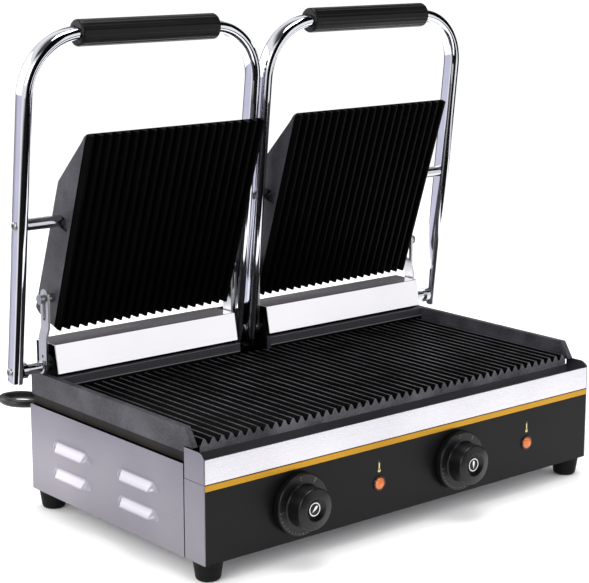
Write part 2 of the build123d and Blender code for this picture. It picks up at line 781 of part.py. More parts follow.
# Collar against the leg, ring beside the guide link and bushing inside the spring
ring_gap = 0.5
link_foot_x = -half_width + link_foot_from_side
with BuildPart() as collars:
    for start, length, radius in (
        (leg_inner_face, collar_length, collar_radius),
        (link_foot_x - ring_gap - ring_length, ring_length, ring_radius),
        (-spring_start - spring_length, spring_length, bushing_radius),
    ):
        with Locations(Location((start + length / 2, hinge_y, hinge_z), (0, 90, 0))):
            Cylinder(radius, length)
            Cylinder(shaft_radius, length, mode=Mode.SUBTRACT)
finish_pair(collars.part, "shaft_collars", with_arm)

# Button-head screws through both legs into the shaft and the cross rod
with BuildPart() as arm_screws:
    for y in (hinge_y, level_rod_y):
        for face, outward in ((leg_outer_face, -1), (middle_leg_outer, 1)):
            shank = tube_thickness + tap_depth - 2
            with Locations(Location((face - outward * shank / 2, y, hinge_z), (0, 90, 0))):
                Cylinder(screw_radius, shank)
            with BuildSketch(Plane(origin=(face, y, hinge_z), x_dir=(0, 1, 0), z_dir=(outward, 0, 0))):
                Circle(screw_head_radius)
            extrude(amount=screw_head_height, taper=20)
finish_pair(arm_screws.part, "arm_screws", with_arm)

# Cast upper plate: ribbed face below, hollow housing above with a sloping nose
front_edge_y = level_rod_y - rod_from_front
rear_edge_y = front_edge_y + upper_length
upper_web_z = level_rib_z + rib_height
cavity_floor_z = upper_web_z + casting_web
slope = (shoulder_height - nose_height) / (slope_end - nose_length)
slope_shift = casting_wall * sqrt(1 + slope**2)
cavity_front = nose_length + (rib_height + casting_web - nose_height + slope_shift) / slope
cavity_mouth_y = front_edge_y + slope_end + 2
cavity_mouth_z = level_rib_z + nose_height - slope_shift + slope * (slope_end + 2 - nose_length)
cavity_rear_y = rear_edge_y - heel_inset - 1.5
post_inset = post_radius + 3
posts = [
    (x, y)
    for x in (plate_left_x + casting_wall + post_inset, plate_right_x - casting_wall - post_inset)
    for y in (cavity_mouth_y + post_inset, cavity_rear_y - post_inset)
]
cover_seat_z = level_rib_z + back_cover_height
cover_screw_radius = 1.8
rod_bore = rod_radius + running_clearance
with BuildPart() as upper_plate:
    with BuildSketch(Plane.YZ.offset(plate_left_x)):
        Polygon(
            (front_edge_y, upper_web_z),
            (front_edge_y, level_rib_z + 6),
            (front_edge_y + nose_length, level_rib_z + nose_height),
            (front_edge_y + slope_end, level_rib_z + shoulder_height),
            (rear_edge_y - heel_inset, level_rib_z + heel_height),
            (rear_edge_y - 1.5, level_rib_z + 31),
            (rear_edge_y, upper_web_z),
            align=None,
        )
    extrude(amount=upper_width)
    with BuildSketch(Plane.YZ.offset(plate_left_x + casting_wall)):
        Polygon(
            (front_edge_y + cavity_front, cavity_floor_z),
            (cavity_mouth_y, cavity_mouth_z),
            (cavity_mouth_y, level_rib_z + 2 * heel_height),
            (cavity_rear_y, level_rib_z + 2 * heel_height),
            (cavity_rear_y, cavity_floor_z),
            align=None,
        )
    extrude(amount=upper_width - 2 * casting_wall, mode=Mode.SUBTRACT)
    post_length = cover_seat_z - cavity_floor_z + 1
    with Locations(*[(x, y, cavity_floor_z - 1) for x, y in posts]):
        Cylinder(post_radius, post_length, align=(Align.CENTER, Align.CENTER, Align.MIN))
    with Locations(*[(x, y, cover_seat_z - 8) for x, y in posts]):
        Cylinder(cover_screw_radius, 10, align=(Align.CENTER, Align.CENTER, Align.MIN), mode=Mode.SUBTRACT)
    with BuildSketch(Plane.XZ.offset(-rear_edge_y)):
        with Locations((plate_middle_x, 0)):
            with GridLocations(rib_pitch, 1, upper_rib_count, 1):
                Polygon(
                    (-rib_root / 2, upper_web_z + 0.5),
                    (-rib_root / 2, upper_web_z),
                    (-rib_tip / 2, level_rib_z),
                    (rib_tip / 2, level_rib_z),
                    (rib_root / 2, upper_web_z),
                    (rib_root / 2, upper_web_z + 0.5),
                    align=None,
                )
    extrude(amount=upper_length)
    for edge_x, inward in ((plate_left_x, 1), (plate_right_x, -1)):
        recess_x = sorted((edge_x - inward, edge_x + inward * rod_recess_depth))
        recess_y = (level_rod_y - rod_bore, level_rod_y + rod_bore)
        box_between(recess_x, recess_y, (level_rib_z + rod_recess_above_ribs, hinge_z), Mode.SUBTRACT)
    with Locations(Location((plate_middle_x, level_rod_y, hinge_z), (0, 90, 0))):
        Cylinder(rod_bore, 2 * upper_width, mode=Mode.SUBTRACT)
    with Locations(Location((plate_middle_x, level_bolt_y, level_bolt_z), (0, 90, 0))):
        Cylinder(bolt_radius, 2 * upper_width, mode=Mode.SUBTRACT)
    with BuildSketch(Plane.XY.offset(level_rib_z)):
        with Locations((plate_middle_x, front_edge_y + upper_length / 2)):
            RectangleRounded(upper_width, upper_length, upper_corner_radius)
    extrude(amount=2 * heel_height, mode=Mode.INTERSECT)
finish_pair(upper_plate.part, "upper_plate", with_plate)

# Back cover of the upper plate, screwed to the posts inside the casting
with BuildPart() as back_cover:
    box_between(
        (plate_left_x + casting_wall + back_cover_fit, plate_right_x - casting_wall - back_cover_fit),
        (cavity_mouth_y + back_cover_fit, cavity_rear_y - back_cover_fit),
        (cover_seat_z, cover_seat_z + back_cover_thickness),
    )
    with Locations(*[(x, y, cover_seat_z) for x, y in posts]):
        Cylinder(cover_screw_radius, 4 * back_cover_thickness, mode=Mode.SUBTRACT)
finish_pair(back_cover.part, "back_cover", with_plate)

with BuildPart() as back_cover_screws:
    with Locations(*[(x, y, cover_seat_z + back_cover_thickness) for x, y in posts]):
        Cylinder(cover_screw_radius, 7, align=(Align.CENTER, Align.CENTER, Align.MAX))
        Cylinder(cover_screw_radius + 1.7, 1.6, align=(Align.CENTER, Align.CENTER, Align.MIN))
finish_pair(back_cover_screws.part, "back_cover_screws", with_plate)

# Tubular element laid on the web inside the upper plate
with BuildPart() as upper_element:
    near_y = cavity_mouth_y - 14
    far_y = cavity_rear_y - 24
    loop_pitch = (upper_width - 2 * upper_element_inset) / 3
    loop_x = [plate_left_x + upper_element_inset + i * loop_pitch for i in range(4)]
    loop_z = cavity_floor_z + upper_element_radius
    with BuildLine() as upper_loop:
        FilletPolyline(
            (loop_x[0], far_y, loop_z),
            (loop_x[0], near_y, loop_z),
            (loop_x[1], near_y, loop_z),
            (loop_x[1], far_y, loop_z),
            (loop_x[2], far_y, loop_z),
            (loop_x[2], near_y, loop_z),
            (loop_x[3], near_y, loop_z),
            (loop_x[3], far_y, loop_z),
            radius=0.38 * loop_pitch,
        )
    with BuildSketch(Plane(origin=upper_loop.line @ 0, z_dir=upper_loop.line % 0)):
        Circle(upper_element_radius)
    sweep(path=upper_loop.line)
finish_pair(upper_element.part, "upper_element", with_plate)

# Slotted guide links: joggled on the outer side, flat where it runs close to the middle leg
slot_top = open_slot_reach + 0.5
slot_radius = bolt_radius + link_slot_clearance
link_top = slot_top + 2
outer_upper_x = link_foot_x + link_joggle
inner_link_x = plate_right_x + inner_link_gap
joggle_start = 28
joggle_end = 38
with BuildPart() as links:
    with BuildSketch(Plane.XY.offset(hinge_z)):
        Polygon(
            (link_foot_x, hinge_y + link_width),
            (link_foot_x, hinge_y - joggle_start),
            (outer_upper_x, hinge_y - joggle_end),
            (outer_upper_x, hinge_y - link_top - link_width),
            (outer_upper_x + link_thickness, hinge_y - link_top - link_width),
            (outer_upper_x + link_thickness, hinge_y - joggle_end),
            (link_foot_x + link_thickness, hinge_y - joggle_start),
            (link_foot_x + link_thickness, hinge_y + link_width),
            align=None,
        )
        with Locations((inner_link_x + link_thickness / 2, hinge_y - link_top / 2)):
            Rectangle(link_thickness, link_top + 3 * link_width)
    extrude(amount=link_width, both=True)
    with BuildSketch(Plane.YZ.offset(-body_width)):
        with Locations((hinge_y - link_top / 2, hinge_z)):
            SlotOverall(link_top + link_width, link_width)
        with Locations((hinge_y, hinge_z)):
            Circle(shaft_radius + running_clearance, mode=Mode.SUBTRACT)
        with Locations((hinge_y - 10, hinge_z)):
            Circle(1.4, mode=Mode.SUBTRACT)
        with Locations((hinge_y - slot_top + link_slot_travel / 2, hinge_z)):
            SlotOverall(link_slot_travel + 2 * slot_radius, 2 * slot_radius, mode=Mode.SUBTRACT)
    extrude(amount=2 * body_width, mode=Mode.INTERSECT)
finish_pair(links.part, "guide_links", with_link)

# Bolts that carry the links' slots: shank, shoulders each side of the link and a head disc
outer_disc_x = -half_width + 0.9
with BuildPart() as link_bolts:
    for start, end, radius in (
        (outer_disc_x, plate_left_x + casting_wall, bolt_radius),
        (outer_disc_x, outer_disc_x + bolt_disc_thickness, bolt_disc_radius),
        (outer_disc_x + bolt_disc_thickness, outer_upper_x - link_side_gap, bolt_radius + 1.5),
        (outer_upper_x + link_thickness + link_side_gap, plate_left_x, bolt_radius + 2),
        (plate_right_x - casting_wall, inner_link_x + link_thickness + link_side_gap, bolt_radius),
        (plate_right_x, inner_link_x - link_side_gap, bolt_disc_radius),
        (
            inner_link_x + link_thickness + link_side_gap,
            inner_link_x + link_thickness + link_side_gap + bolt_disc_thickness,
            bolt_disc_radius,
        ),
    ):
        with Locations(Location(((start + end) / 2, level_bolt_y, level_bolt_z), (0, 90, 0))):
            Cylinder(radius, end - start)
finish_pair(link_bolts.part, "link_bolts", with_plate)

# Gland and elbow strain relief of the mains lead on the rear panel
elbow = Vector(gland_x, rear_y + 12.5, gland_z)
first_corner = Vector(-half_width - loop_beyond_side, rear_y + 12.5, base_z + 80)
lead_direction = (first_corner - elbow).normalized()
relief_start = elbow + lead_direction * 6
relief_end = relief_start + lead_direction * relief_length
with BuildPart() as gland:
    with Locations(Location((gland_x, rear_y, gland_z), (-90, 0, 0))):
        Cylinder(gland_radius, 2.5, align=(Align.CENTER, Align.CENTER, Align.MIN))
        Cylinder(gland_stem_radius, 12.5, align=(Align.CENTER, Align.CENTER, Align.MIN))
        Cylinder(gland_stem_radius, 5, align=(Align.CENTER, Align.CENTER, Align.MAX))
        with Locations((0, 0, -sheet)):
            Cylinder(gland_radius, 3, align=(Align.CENTER, Align.CENTER, Align.MAX))
    with Locations(elbow):
        Sphere(relief_radius + 0.4)
    with BuildSketch(Plane(origin=elbow, z_dir=lead_direction)):
        Circle(relief_radius)
    with BuildSketch(Plane(origin=relief_end, z_dir=lead_direction)):
        Circle(cord_radius + 1)
    loft()
finish(gland.part, "cord_gland")

# Free stretch of the lead: a tight loop beside the body, then down behind it to the table
coil_x = -half_width + coil_from_left
coil_y = rear_y + coil_from_rear
coil_pitch = 2 * cord_radius + coil_gap
coil_low_z = cord_radius + coil_lift
coil_entry = Vector(coil_x - 2 * cord_radius, coil_y - coil_outer_radius, coil_low_z)
route = [
    relief_end,
    first_corner,
    first_corner + Vector(0, 36, 0.5),
    Vector(-half_width + 31, rear_y + 50, base_z + 77),
    Vector(-half_width + 66, rear_y + 46, base_z + 58),
    Vector(-half_width + 100, rear_y + 37, base_z + 30),
    Vector(-half_width + 136, rear_y + 26, base_z + 6),
    Vector(-half_width + 174, rear_y + 18, base_z - 8),
    Vector(-half_width + 205, coil_y - coil_outer_radius, coil_low_z),
    coil_entry,
]
corner_radii = []
for before, corner, after in zip(route, route[1:], route[2:]):
    turn = radians((corner - before).get_angle(after - corner))
    shorter = min((corner - before).length, (after - corner).length)
    corner_radii.append(0.45 * shorter / tan(turn / 2))
with BuildPart() as power_cord:
    with BuildLine() as lead:
        FilletPolyline(*route, radius=corner_radii)
    with BuildSketch(Plane(origin=relief_end, z_dir=lead_direction)):
        Circle(cord_radius)
    sweep(path=lead.line)
finish(power_cord.part, "power_cord")
print("cord radii", [round(r, 1) for r in corner_radii])
lead_wire = lead.wire()
lead_volume = pi * cord_radius**2 * lead_wire.length
print("cord volume over section times length", power_cord.part.volume / lead_volume)

# Coil of the rest of the lead: spirals in, climbs a layer in half a turn and spirals out again
half_step = coil_pitch / 2
low_radii = [coil_outer_radius - i * half_step for i in range(4)]
climb_radius = low_radii[-1] - half_step - coil_climb_step
high_radii = low_radii[::-1]
coil_high_z = coil_low_z + coil_pitch
coil_ends = [(r, coil_low_z) for r in low_radii + [climb_radius]]
coil_ends += [(r, coil_high_z) for r in [climb_radius] + high_radii]
coil_points = [
    Vector(coil_x, coil_y + (radius if i % 2 else -radius), z) for i, (radius, z) in enumerate(coil_ends)
]
with BuildPart() as cord_coil:
    with BuildLine() as turns:
        Line(coil_entry, coil_points[0])
        for i, (start, end) in enumerate(zip(coil_points, coil_points[1:])):
            side = 1 if i % 2 == 0 else -1
            middle = (start + end) / 2 + Vector(side * (end - start).length / 2, 0, 0)
            ThreePointArc(start, middle, end)
        Line(coil_points[-1], coil_points[-1] - Vector(2 * cord_radius, 0, 0))
    with BuildSketch(Plane(origin=coil_entry, z_dir=(1, 0, 0))):
        Circle(cord_radius)
    sweep(path=turns.line)
finish(cord_coil.part, "cord_coil")
coil_wire = turns.wire()
samples = [coil_wire @ (i / 720) for i in range(721)]
least = min((samples[i] - samples[j]).length for i in range(721) for j in range(i + 40, 721))
print("coil length", round(coil_wire.length), "least gap to itself", round(least - 2 * cord_radius, 2))
print("whole lead", round(coil_wire.length + lead_wire.length))

# Strap that ties the coil, on its left side where two turns lie in each layer
tie_inner = (low_radii[3] + climb_radius) / 2 - cord_radius - coil_gap - tie_slack
tie_outer = (low_radii[1] + low_radii[2]) / 2 + cord_radius + coil_gap + tie_slack
with BuildPart() as cord_tie:
    tie_x = (coil_x - tie_outer, coil_x - tie_inner)
    tie_z = (coil_lift - 0.2, coil_high_z + cord_radius + 0.2)
    tie_y = (coil_y - tie_width / 2, coil_y + tie_width / 2)
    strap_x = (tie_x[0] - tie_thickness, tie_x[1] + tie_thickness)
    strap_z = (tie_z[0] - tie_thickness, tie_z[1] + tie_thickness)
    box_between(strap_x, tie_y, strap_z)
    box_between(tie_x, (tie_y[0] - 1, tie_y[1] + 1), tie_z, Mode.SUBTRACT)
finish(cord_tie.part, "cord_tie")

# Plug at the end of the coil, lying on the table, with two round pins
plug_start = coil_points[-1] - Vector(2 * cord_radius, 0, 0)
plug_sleeve = 34
plug_plane = Plane(origin=plug_start, x_dir=(0, 1, 0), z_dir=(-1, 0, 0))
plug_face = plug_plane.offset(plug_sleeve + plug_length)
pin_spots = [(-pin_spacing / 2, 0), (pin_spacing / 2, 0)]
pin_root = 8
with BuildPart() as plug:
    with BuildSketch(plug_plane):
        Circle(cord_radius + 1)
    with BuildSketch(plug_plane.offset(plug_sleeve)):
        Circle(cord_radius + 2.5)
    loft()
    with BuildSketch(plug_plane.offset(plug_sleeve - 6)):
        Circle(plug_radius - 3)
    with BuildSketch(plug_plane.offset(plug_sleeve)):
        Circle(plug_radius)
    loft()
    with BuildSketch(plug_plane.offset(plug_sleeve)):
        Circle(plug_radius)
    extrude(amount=plug_length)
    with BuildSketch(plug_face):
        with Locations(*pin_spots):
            Circle(pin_radius)
    extrude(amount=-pin_root, mode=Mode.SUBTRACT)
finish(plug.part, "plug")

with BuildPart() as plug_pins:
    with BuildSketch(plug_face.offset(-pin_root)):
        with Locations(*pin_spots):
            Circle(pin_radius)
    extrude(amount=pin_root + pin_length)
finish(plug_pins.part, "plug_pins")
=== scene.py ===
"""Double contact grill with raised lids, dressed for the photograph's view.

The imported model's frame is used throughout: X to the user's right, Y to the back, Z up. Sizes are
written in millimetres and turned to metres where a mesh is made.
"""
import bpy
import bmesh
import numpy as np
from math import cos, pi, radians, sin
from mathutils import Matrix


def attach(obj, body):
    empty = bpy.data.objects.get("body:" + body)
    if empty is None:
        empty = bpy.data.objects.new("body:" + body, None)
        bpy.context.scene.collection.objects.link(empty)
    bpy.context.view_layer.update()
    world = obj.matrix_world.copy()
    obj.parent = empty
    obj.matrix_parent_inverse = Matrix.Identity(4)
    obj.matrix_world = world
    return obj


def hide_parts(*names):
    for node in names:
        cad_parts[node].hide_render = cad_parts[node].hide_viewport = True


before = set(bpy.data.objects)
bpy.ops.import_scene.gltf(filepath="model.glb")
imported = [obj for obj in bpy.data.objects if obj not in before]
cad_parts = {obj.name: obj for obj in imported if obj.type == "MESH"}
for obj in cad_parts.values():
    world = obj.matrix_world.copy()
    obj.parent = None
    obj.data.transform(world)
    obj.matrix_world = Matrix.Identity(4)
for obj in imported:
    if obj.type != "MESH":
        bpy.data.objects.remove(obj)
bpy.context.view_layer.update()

# Table, daylight tent and camera
# The grill stands on white paper in a white tent. What shiny parts mirror is grey overhead and at the back
# right, and a dark room at the front. The lens is long and looks from the front left.


def linear(code):
    """Turns an sRGB hex colour into the four linear values that a shader socket takes."""
    part = np.array([int(code[i : i + 2], 16) for i in (0, 2, 4)]) / 255
    part = np.where(part <= 0.04045, part / 12.92, ((part + 0.055) / 1.055) ** 2.4)
    return (*part.tolist(), 1.0)


def add(tree, kind, settings=None, links=None):
    """Adds one node. Settings are its properties or its sockets' values, links join sockets to outputs."""
    made = tree.nodes.new("ShaderNode" + kind)
    for name, value in (settings or {}).items():
        if isinstance(name, str) and hasattr(made, name):
            setattr(made, name, value)
        else:
            made.inputs[name].default_value = value
    for name, output in (links or {}).items():
        tree.links.new(output, made.inputs[name])
    return made


def new_material(name):
    """Starts an empty node material and returns it with its tree."""
    material = bpy.data.materials.new(name)
    material.use_nodes = True
    material.node_tree.nodes.clear()
    return material, material.node_tree


def into_scene(name, data):
    """Makes an object of a mesh, a curve, a lamp or a camera and links it to the scene."""
    made = bpy.data.objects.new(name, data)
    bpy.context.scene.collection.objects.link(made)
    return made


world = bpy.data.worlds.new("white tent")
world.use_nodes = True
sky = world.node_tree
sky.nodes.clear()
place = add(sky, "TexCoord").outputs["Generated"]
height = add(sky, "SeparateXYZ", links={0: place}).outputs["Z"]
level = add(sky, "VectorMath", {"operation": "MULTIPLY", 1: (1, 1, 0)}, {0: place}).outputs[0]
level = add(sky, "VectorMath", {"operation": "NORMALIZE"}, {0: level}).outputs[0]


def towards(x, y, start, full):
    """How far a level direction faces (x, y): 0 where their dot product is start, 1 where it is full."""
    dot = add(sky, "VectorMath", {"operation": "DOT_PRODUCT", 1: (x, y, 0)}, {0: level}).outputs["Value"]
    ramp = {"interpolation_type": "SMOOTHSTEP", 1: start, 2: full}
    return add(sky, "MapRange", ramp, {0: dot}).outputs[0]


def climbed(start, full):
    """How far a direction has climbed from a height of start to one of full, or sunk where full is less."""
    ramp = {"interpolation_type": "SMOOTHSTEP", 1: start, 2: full}
    return add(sky, "MapRange", ramp, {0: height}).outputs[0]


# Each patch is masks, which are multiplied, and the colour laid over the patches before it: a pale violet
# wall at the back left, grey overhead, grey at the back right, the dark room at the front and its floor.
tent = [
    ((towards(-0.57, 0.82, 0.85, 0.95), climbed(0.08, -0.08)), "dcdcee"),
    ((climbed(0.62, 0.8),), "4c4c50"),
    ((towards(0.64, 0.77, 0.3, 0.7), climbed(0.5, 0.34)), "555356"),
    ((towards(0.64, -0.77, 0.0, 0.35),), "0c0c0e"),
    ((towards(-0.71, -0.71, 0.64, 0.82), climbed(-0.2, -0.3)), "1c1a1a"),
]
white = linear("ffffff")
tone = add(sky, "Mix", {"data_type": "RGBA", 0: 0.0, 6: white}).outputs[2]
for masks, colour in tent:
    mask = masks[0]
    for other in masks[1:]:
        mask = add(sky, "Math", {"operation": "MULTIPLY"}, {0: mask, 1: other}).outputs[0]
    tone = add(sky, "Mix", {"data_type": "RGBA", 7: linear(colour)}, {0: mask, 6: tone}).outputs[2]
# The camera and diffuse rays see plain white; only what is mirrored sees the patches.
path = add(sky, "LightPath").outputs
plain = add(sky, "Math", {"operation": "MAXIMUM"}, {0: path["Is Camera Ray"], 1: path["Is Diffuse Ray"]})
tone = add(sky, "Mix", {"data_type": "RGBA", 7: white}, {0: plain.outputs[0], 6: tone})
sky_shade = add(sky, "Background", {"Strength": 1.05}, {"Color": tone.outputs[2]})
add(sky, "OutputWorld", links={"Surface": sky_shade.outputs[0]})
bpy.context.scene.world = world
bpy.context.scene.view_settings.view_transform = "Standard"


def lamp(name, place, aim, size, power):
    """Places a square soft lamp, of a size in metres and a power in watts, that looks at a point."""
    data = bpy.data.lights.new(name, "AREA")
    data.energy = power
    data.size = size
    made = into_scene(name, data)
    made.location = place
    line = np.array(aim) - np.array(place)
    tilt = np.arctan2(np.hypot(line[0], line[1]), -line[2])
    made.rotation_euler = (float(tilt), 0.0, float(np.arctan2(line[1], line[0]) - pi / 2))


lamp("left window", (-2.2, -0.8, 1.15), (0, 0, 0.2), 1.2, 22)
lamp("overhead strip", (0.1, 0.2, 2.4), (0, 0, 0.2), 1.2, 34)
lamp("right softbox", (1.25, -1.7, 0.45), (0, 0.1, 0.14), 1.6, 9)
lamp("back window", (-1.2, 1.75, 0.9), (0, 0, 0.1), 1.3, 11)

paper, tree = new_material("white paper")
fibre = add(tree, "TexNoise", {"Scale": 60.0, "Detail": 4.0}, {0: add(tree, "TexCoord").outputs["Object"]})
fibre = add(tree, "MapRange", {3: 0.88, 4: 0.94}, {0: fibre.outputs[0]})
shade = add(tree, "BsdfPrincipled", {"Base Color": linear("fcfcfc")}, {"Roughness": fibre.outputs[0]})
add(tree, "OutputMaterial", links={"Surface": shade.outputs[0]})
floor_mesh = bpy.data.meshes.new("floor")
# The sheet's front left corner is cut away, so that the leaning tubes mirror the dark room there.
sheet = [(-0.42, 0.05), (-0.27, -0.2), (-0.2, -0.5), (1.6, -0.5), (1.6, 1.6), (-0.42, 1.6)]
floor_mesh.from_pydata([(x, y, 0) for x, y in sheet], [], [range(len(sheet))])
floor_mesh.materials.append(paper)
floor = into_scene("floor", floor_mesh)

focal_pixels, picture_width, sensor_width = 1753, 589, 36
camera_pitch, camera_yaw = -12.2, -39.88
camera_data = bpy.data.cameras.new("long lens")
camera_data.lens = focal_pixels / picture_width * sensor_width
camera_data.clip_start = 0.05
camera = into_scene("long lens", camera_data)
camera.location = (-1.0730, -1.2439, 0.5550)
camera.rotation_euler = (radians(90 + camera_pitch), 0.0, radians(camera_yaw))
bpy.context.scene.camera = camera

# Mains lead
# Round lead with a black PVC sheath, 8 mm thick. It leaves a gland on the back panel, loops round the
# left rear corner, drops behind the grill to the table and ends in a tied coil with its plug.

# Half the body's width, its front, its back, and its underside, which the feet hold up.
half, front_y, rear_y, base_z = 240.0, -129.5, 142.5, 18.0
# The lead's radius, and the heights of its middle in the two layers of the coil.
lead_radius, lying, second_layer = 4.0, 5.2, 14.0


def moulded(name, dark, pale, low, high, blotch, grain, strength, depth, settings):
    """A moulded skin: two tones and a gloss from low to high in blotches, and a bump of a finer grain.

    blotch and grain are a noise's scale per metre and its detail; a grain of None is the blotches again.
    """
    made, tree = new_material(name)
    place = add(tree, "TexCoord").outputs["Object"]
    patch = add(tree, "TexNoise", {"Scale": blotch[0], "Detail": blotch[1]}, {0: place})
    felt = patch
    if grain is not None:
        felt = add(tree, "TexNoise", {"Scale": grain[0], "Detail": grain[1]}, {0: place})
    tint = add(tree, "Mix", {"data_type": "RGBA", 6: linear(dark), 7: linear(pale)}, {0: patch.outputs[0]})
    gloss = add(tree, "MapRange", {3: low, 4: high}, {0: patch.outputs[0]})
    bump = add(tree, "Bump", {"Strength": strength, "Distance": depth}, {"Height": felt.outputs[0]})
    shade = add(tree, "BsdfPrincipled", settings,
                {"Base Color": tint.outputs[2], "Roughness": gloss.outputs[0], "Normal": bump.outputs[0]})
    add(tree, "OutputMaterial", links={"Surface": shade.outputs[0]})
    return made


# Extruded soft vinyl: an even black skin with a dull sheen and a faint waviness 4 mm long.
sheath = moulded("PVC sheath, extruded", "0e0e0f", "1b1b1c", 0.34, 0.5, (260.0, 3.0), None, 0.25, 0.0003,
                 {"IOR": 1.53})

gland_out, boot_length = 12.5, 48.0
elbow = np.array([-half + 75, rear_y + gland_out, base_z + 72])
loop_corner = np.array([-half - 8.5, rear_y + gland_out, base_z + 80])
heading = (loop_corner - elbow) / np.linalg.norm(loop_corner - elbow)
lead_exit = elbow + boot_length * heading
route = [lead_exit, loop_corner]
route += [(-half - 8.5, rear_y + 48.5, base_z + 80.5), (-half + 31, rear_y + 50, base_z + 77),
          (-half + 66, rear_y + 46, base_z + 58), (-half + 100, rear_y + 37, base_z + 30),
          (-half + 136, rear_y + 26, base_z + 6), (-half + 174, rear_y + 18, base_z - 8),
          (-half + 205, rear_y + 15, lying), (-13, rear_y + 15, lying)]
# Each half turn of the coil is an arc with both ends on the Y axis through the coil's middle. The spline's
# points stand a little outside it, at r / cos(half a step), so that the spline touches the arc.
coil_x, coil_y, step = -5.0, rear_y + 69, radians(22.5)
turn_radii = [54, 49.6, 45.2, 40.8, 35.4, 35.4, 40.8, 45.2, 49.6, 54]
turn_heights = [lying] * 5 + [second_layer] * 5
for i in range(9):
    way = 1 if i % 2 == 0 else -1
    y0, y1 = coil_y - way * turn_radii[i], coil_y + way * turn_radii[i + 1]
    angle = step * (np.arange(8) + 0.5)
    middle, radius = (y0 + y1) / 2, abs(y1 - y0) / 2 / cos(step / 2)
    y = middle - way * radius * np.cos(angle)
    z = turn_heights[i] + (turn_heights[i + 1] - turn_heights[i]) * (y - y0) / (y1 - y0)
    route += list(np.stack([coil_x + way * radius * np.sin(angle), y, z], axis=-1))
coil_end = np.array([coil_x, coil_y + turn_radii[-1], second_layer])
plug_start = coil_end - (8, 0, 0)
route += [coil_end, plug_start]

curve = bpy.data.curves.new("mains_lead", "CURVE")
curve.dimensions = "3D"
line = curve.splines.new("NURBS")
line.points.add(len(route) - 1)
line.points.foreach_set("co", np.c_[np.array(route) / 1000, np.ones(len(route))].ravel())
line.order_u = 3
line.use_endpoint_u = True
curve.resolution_u = 8
curve.bevel_depth = lead_radius / 1000
curve.bevel_resolution = 6
curve.use_fill_caps = True
lead = into_scene("mains_lead", curve)
curve.materials.append(sheath)
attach(lead, "base")
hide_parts("power_cord", "cord_coil")


def grid(points, closed=False):
    """A surface from rows of points, as (points, faces); closed joins the end of each row to its start."""
    rows, columns = points.shape[:2]
    index = np.arange(rows * columns).reshape(rows, columns)
    if closed:
        index = np.concatenate([index, index[:, :1]], axis=1)
    faces = np.stack([index[:-1, :-1], index[:-1, 1:], index[1:, 1:], index[1:, :-1]], axis=-1)
    return points.reshape(-1, 3), faces.reshape(-1, 4)


def turned(profile, start, along, count=48, sides=None):
    """Turns a profile round an axis: start + d along + r (cos a u + sin a v), for d, r of the profile.

    Where sides is given, the rows marked in it become hexagons: r is divided by cos(a mod 60 - 30).
    """
    profile = np.array(profile, float)
    along = np.array(along, float) / np.linalg.norm(along)
    u = np.cross(along, (0, 0, 1) if abs(along[2]) < 0.9 else (1, 0, 0))
    u /= np.linalg.norm(u)
    v = np.cross(along, u)
    angle = 2 * pi * np.arange(count) / count
    radius = np.repeat(profile[:, 1:2], count, axis=1)
    if sides is not None:
        flats = cos(pi / 6) / np.cos(np.mod(angle, pi / 3) - pi / 6)
        radius = radius * np.where(np.array(sides)[:, None], flats, 1.0)
    spokes = np.cos(angle)[:, None] * u + np.sin(angle)[:, None] * v
    points = np.array(start) + profile[:, 0, None, None] * along + radius[..., None] * spokes
    return grid(points, closed=True)


def piece(name, body, shapes, materials, replaced=(), sharp=32, outward=None, index=None):
    """Makes one object of surfaces in millimetres: joins them, merges doubles and turns faces outwards.

    An open surface is turned to face outward, and index gives each face its material.
    """
    points = np.concatenate([shape[0] for shape in shapes]) / 1000
    shift = np.cumsum([0] + [len(shape[0]) for shape in shapes])
    faces = []
    for shape, more in zip(shapes, shift):
        faces += (shape[1] + more).tolist()
    mesh = bpy.data.meshes.new(name)
    mesh.from_pydata(points, [], faces)
    if index is not None:
        mesh.polygons.foreach_set("material_index", np.asarray(index, dtype=np.int32))
    work = bmesh.new()
    work.from_mesh(mesh)
    bmesh.ops.remove_doubles(work, verts=work.verts, dist=1e-6)
    if outward is None:
        bmesh.ops.recalc_face_normals(work, faces=work.faces)
    elif sum(face.normal.dot(outward) * face.calc_area() for face in work.faces) < 0:
        bmesh.ops.reverse_faces(work, faces=work.faces)
    work.to_mesh(mesh)
    work.free()
    for material in materials:
        mesh.materials.append(material)
    mesh.shade_smooth()
    mesh.set_sharp_from_angle(angle=radians(sharp))
    made = into_scene(name, mesh)
    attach(made, body)
    if replaced:
        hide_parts(*replaced)
    return made


# The plug is moulded on: a ribbed sleeve that grows into a waisted body with a rim at its face.
sleeve = [(0, 5), (1, 5.2)]
for i in range(6):
    start = 2 + 4.2 * i
    sleeve += [(start, 5.3 + 0.32 * i), (start + 2.4, 5.4 + 0.32 * i), (start + 2.6, 4.5 + 0.3 * i),
               (start + 3.8, 4.6 + 0.3 * i)]
body_line = [(28, 9.2), (31, 10.6), (34, 11.6), (40, 12.0), (50, 11.2), (60, 11.6), (66, 12.3), (69, 12.4),
             (70, 12.0), (70, 0)]
plug_shape = turned(sleeve + body_line, plug_start, (-1, 0, 0), 56)
plug_body = piece("plug_body", "base", [plug_shape], [sheath], ("plug",), sharp=40)
# The strap round the coil is a releasable nylon tie; its solid stays, with a ribbed finish.
strap, tree = new_material("nylon strap, moulded")
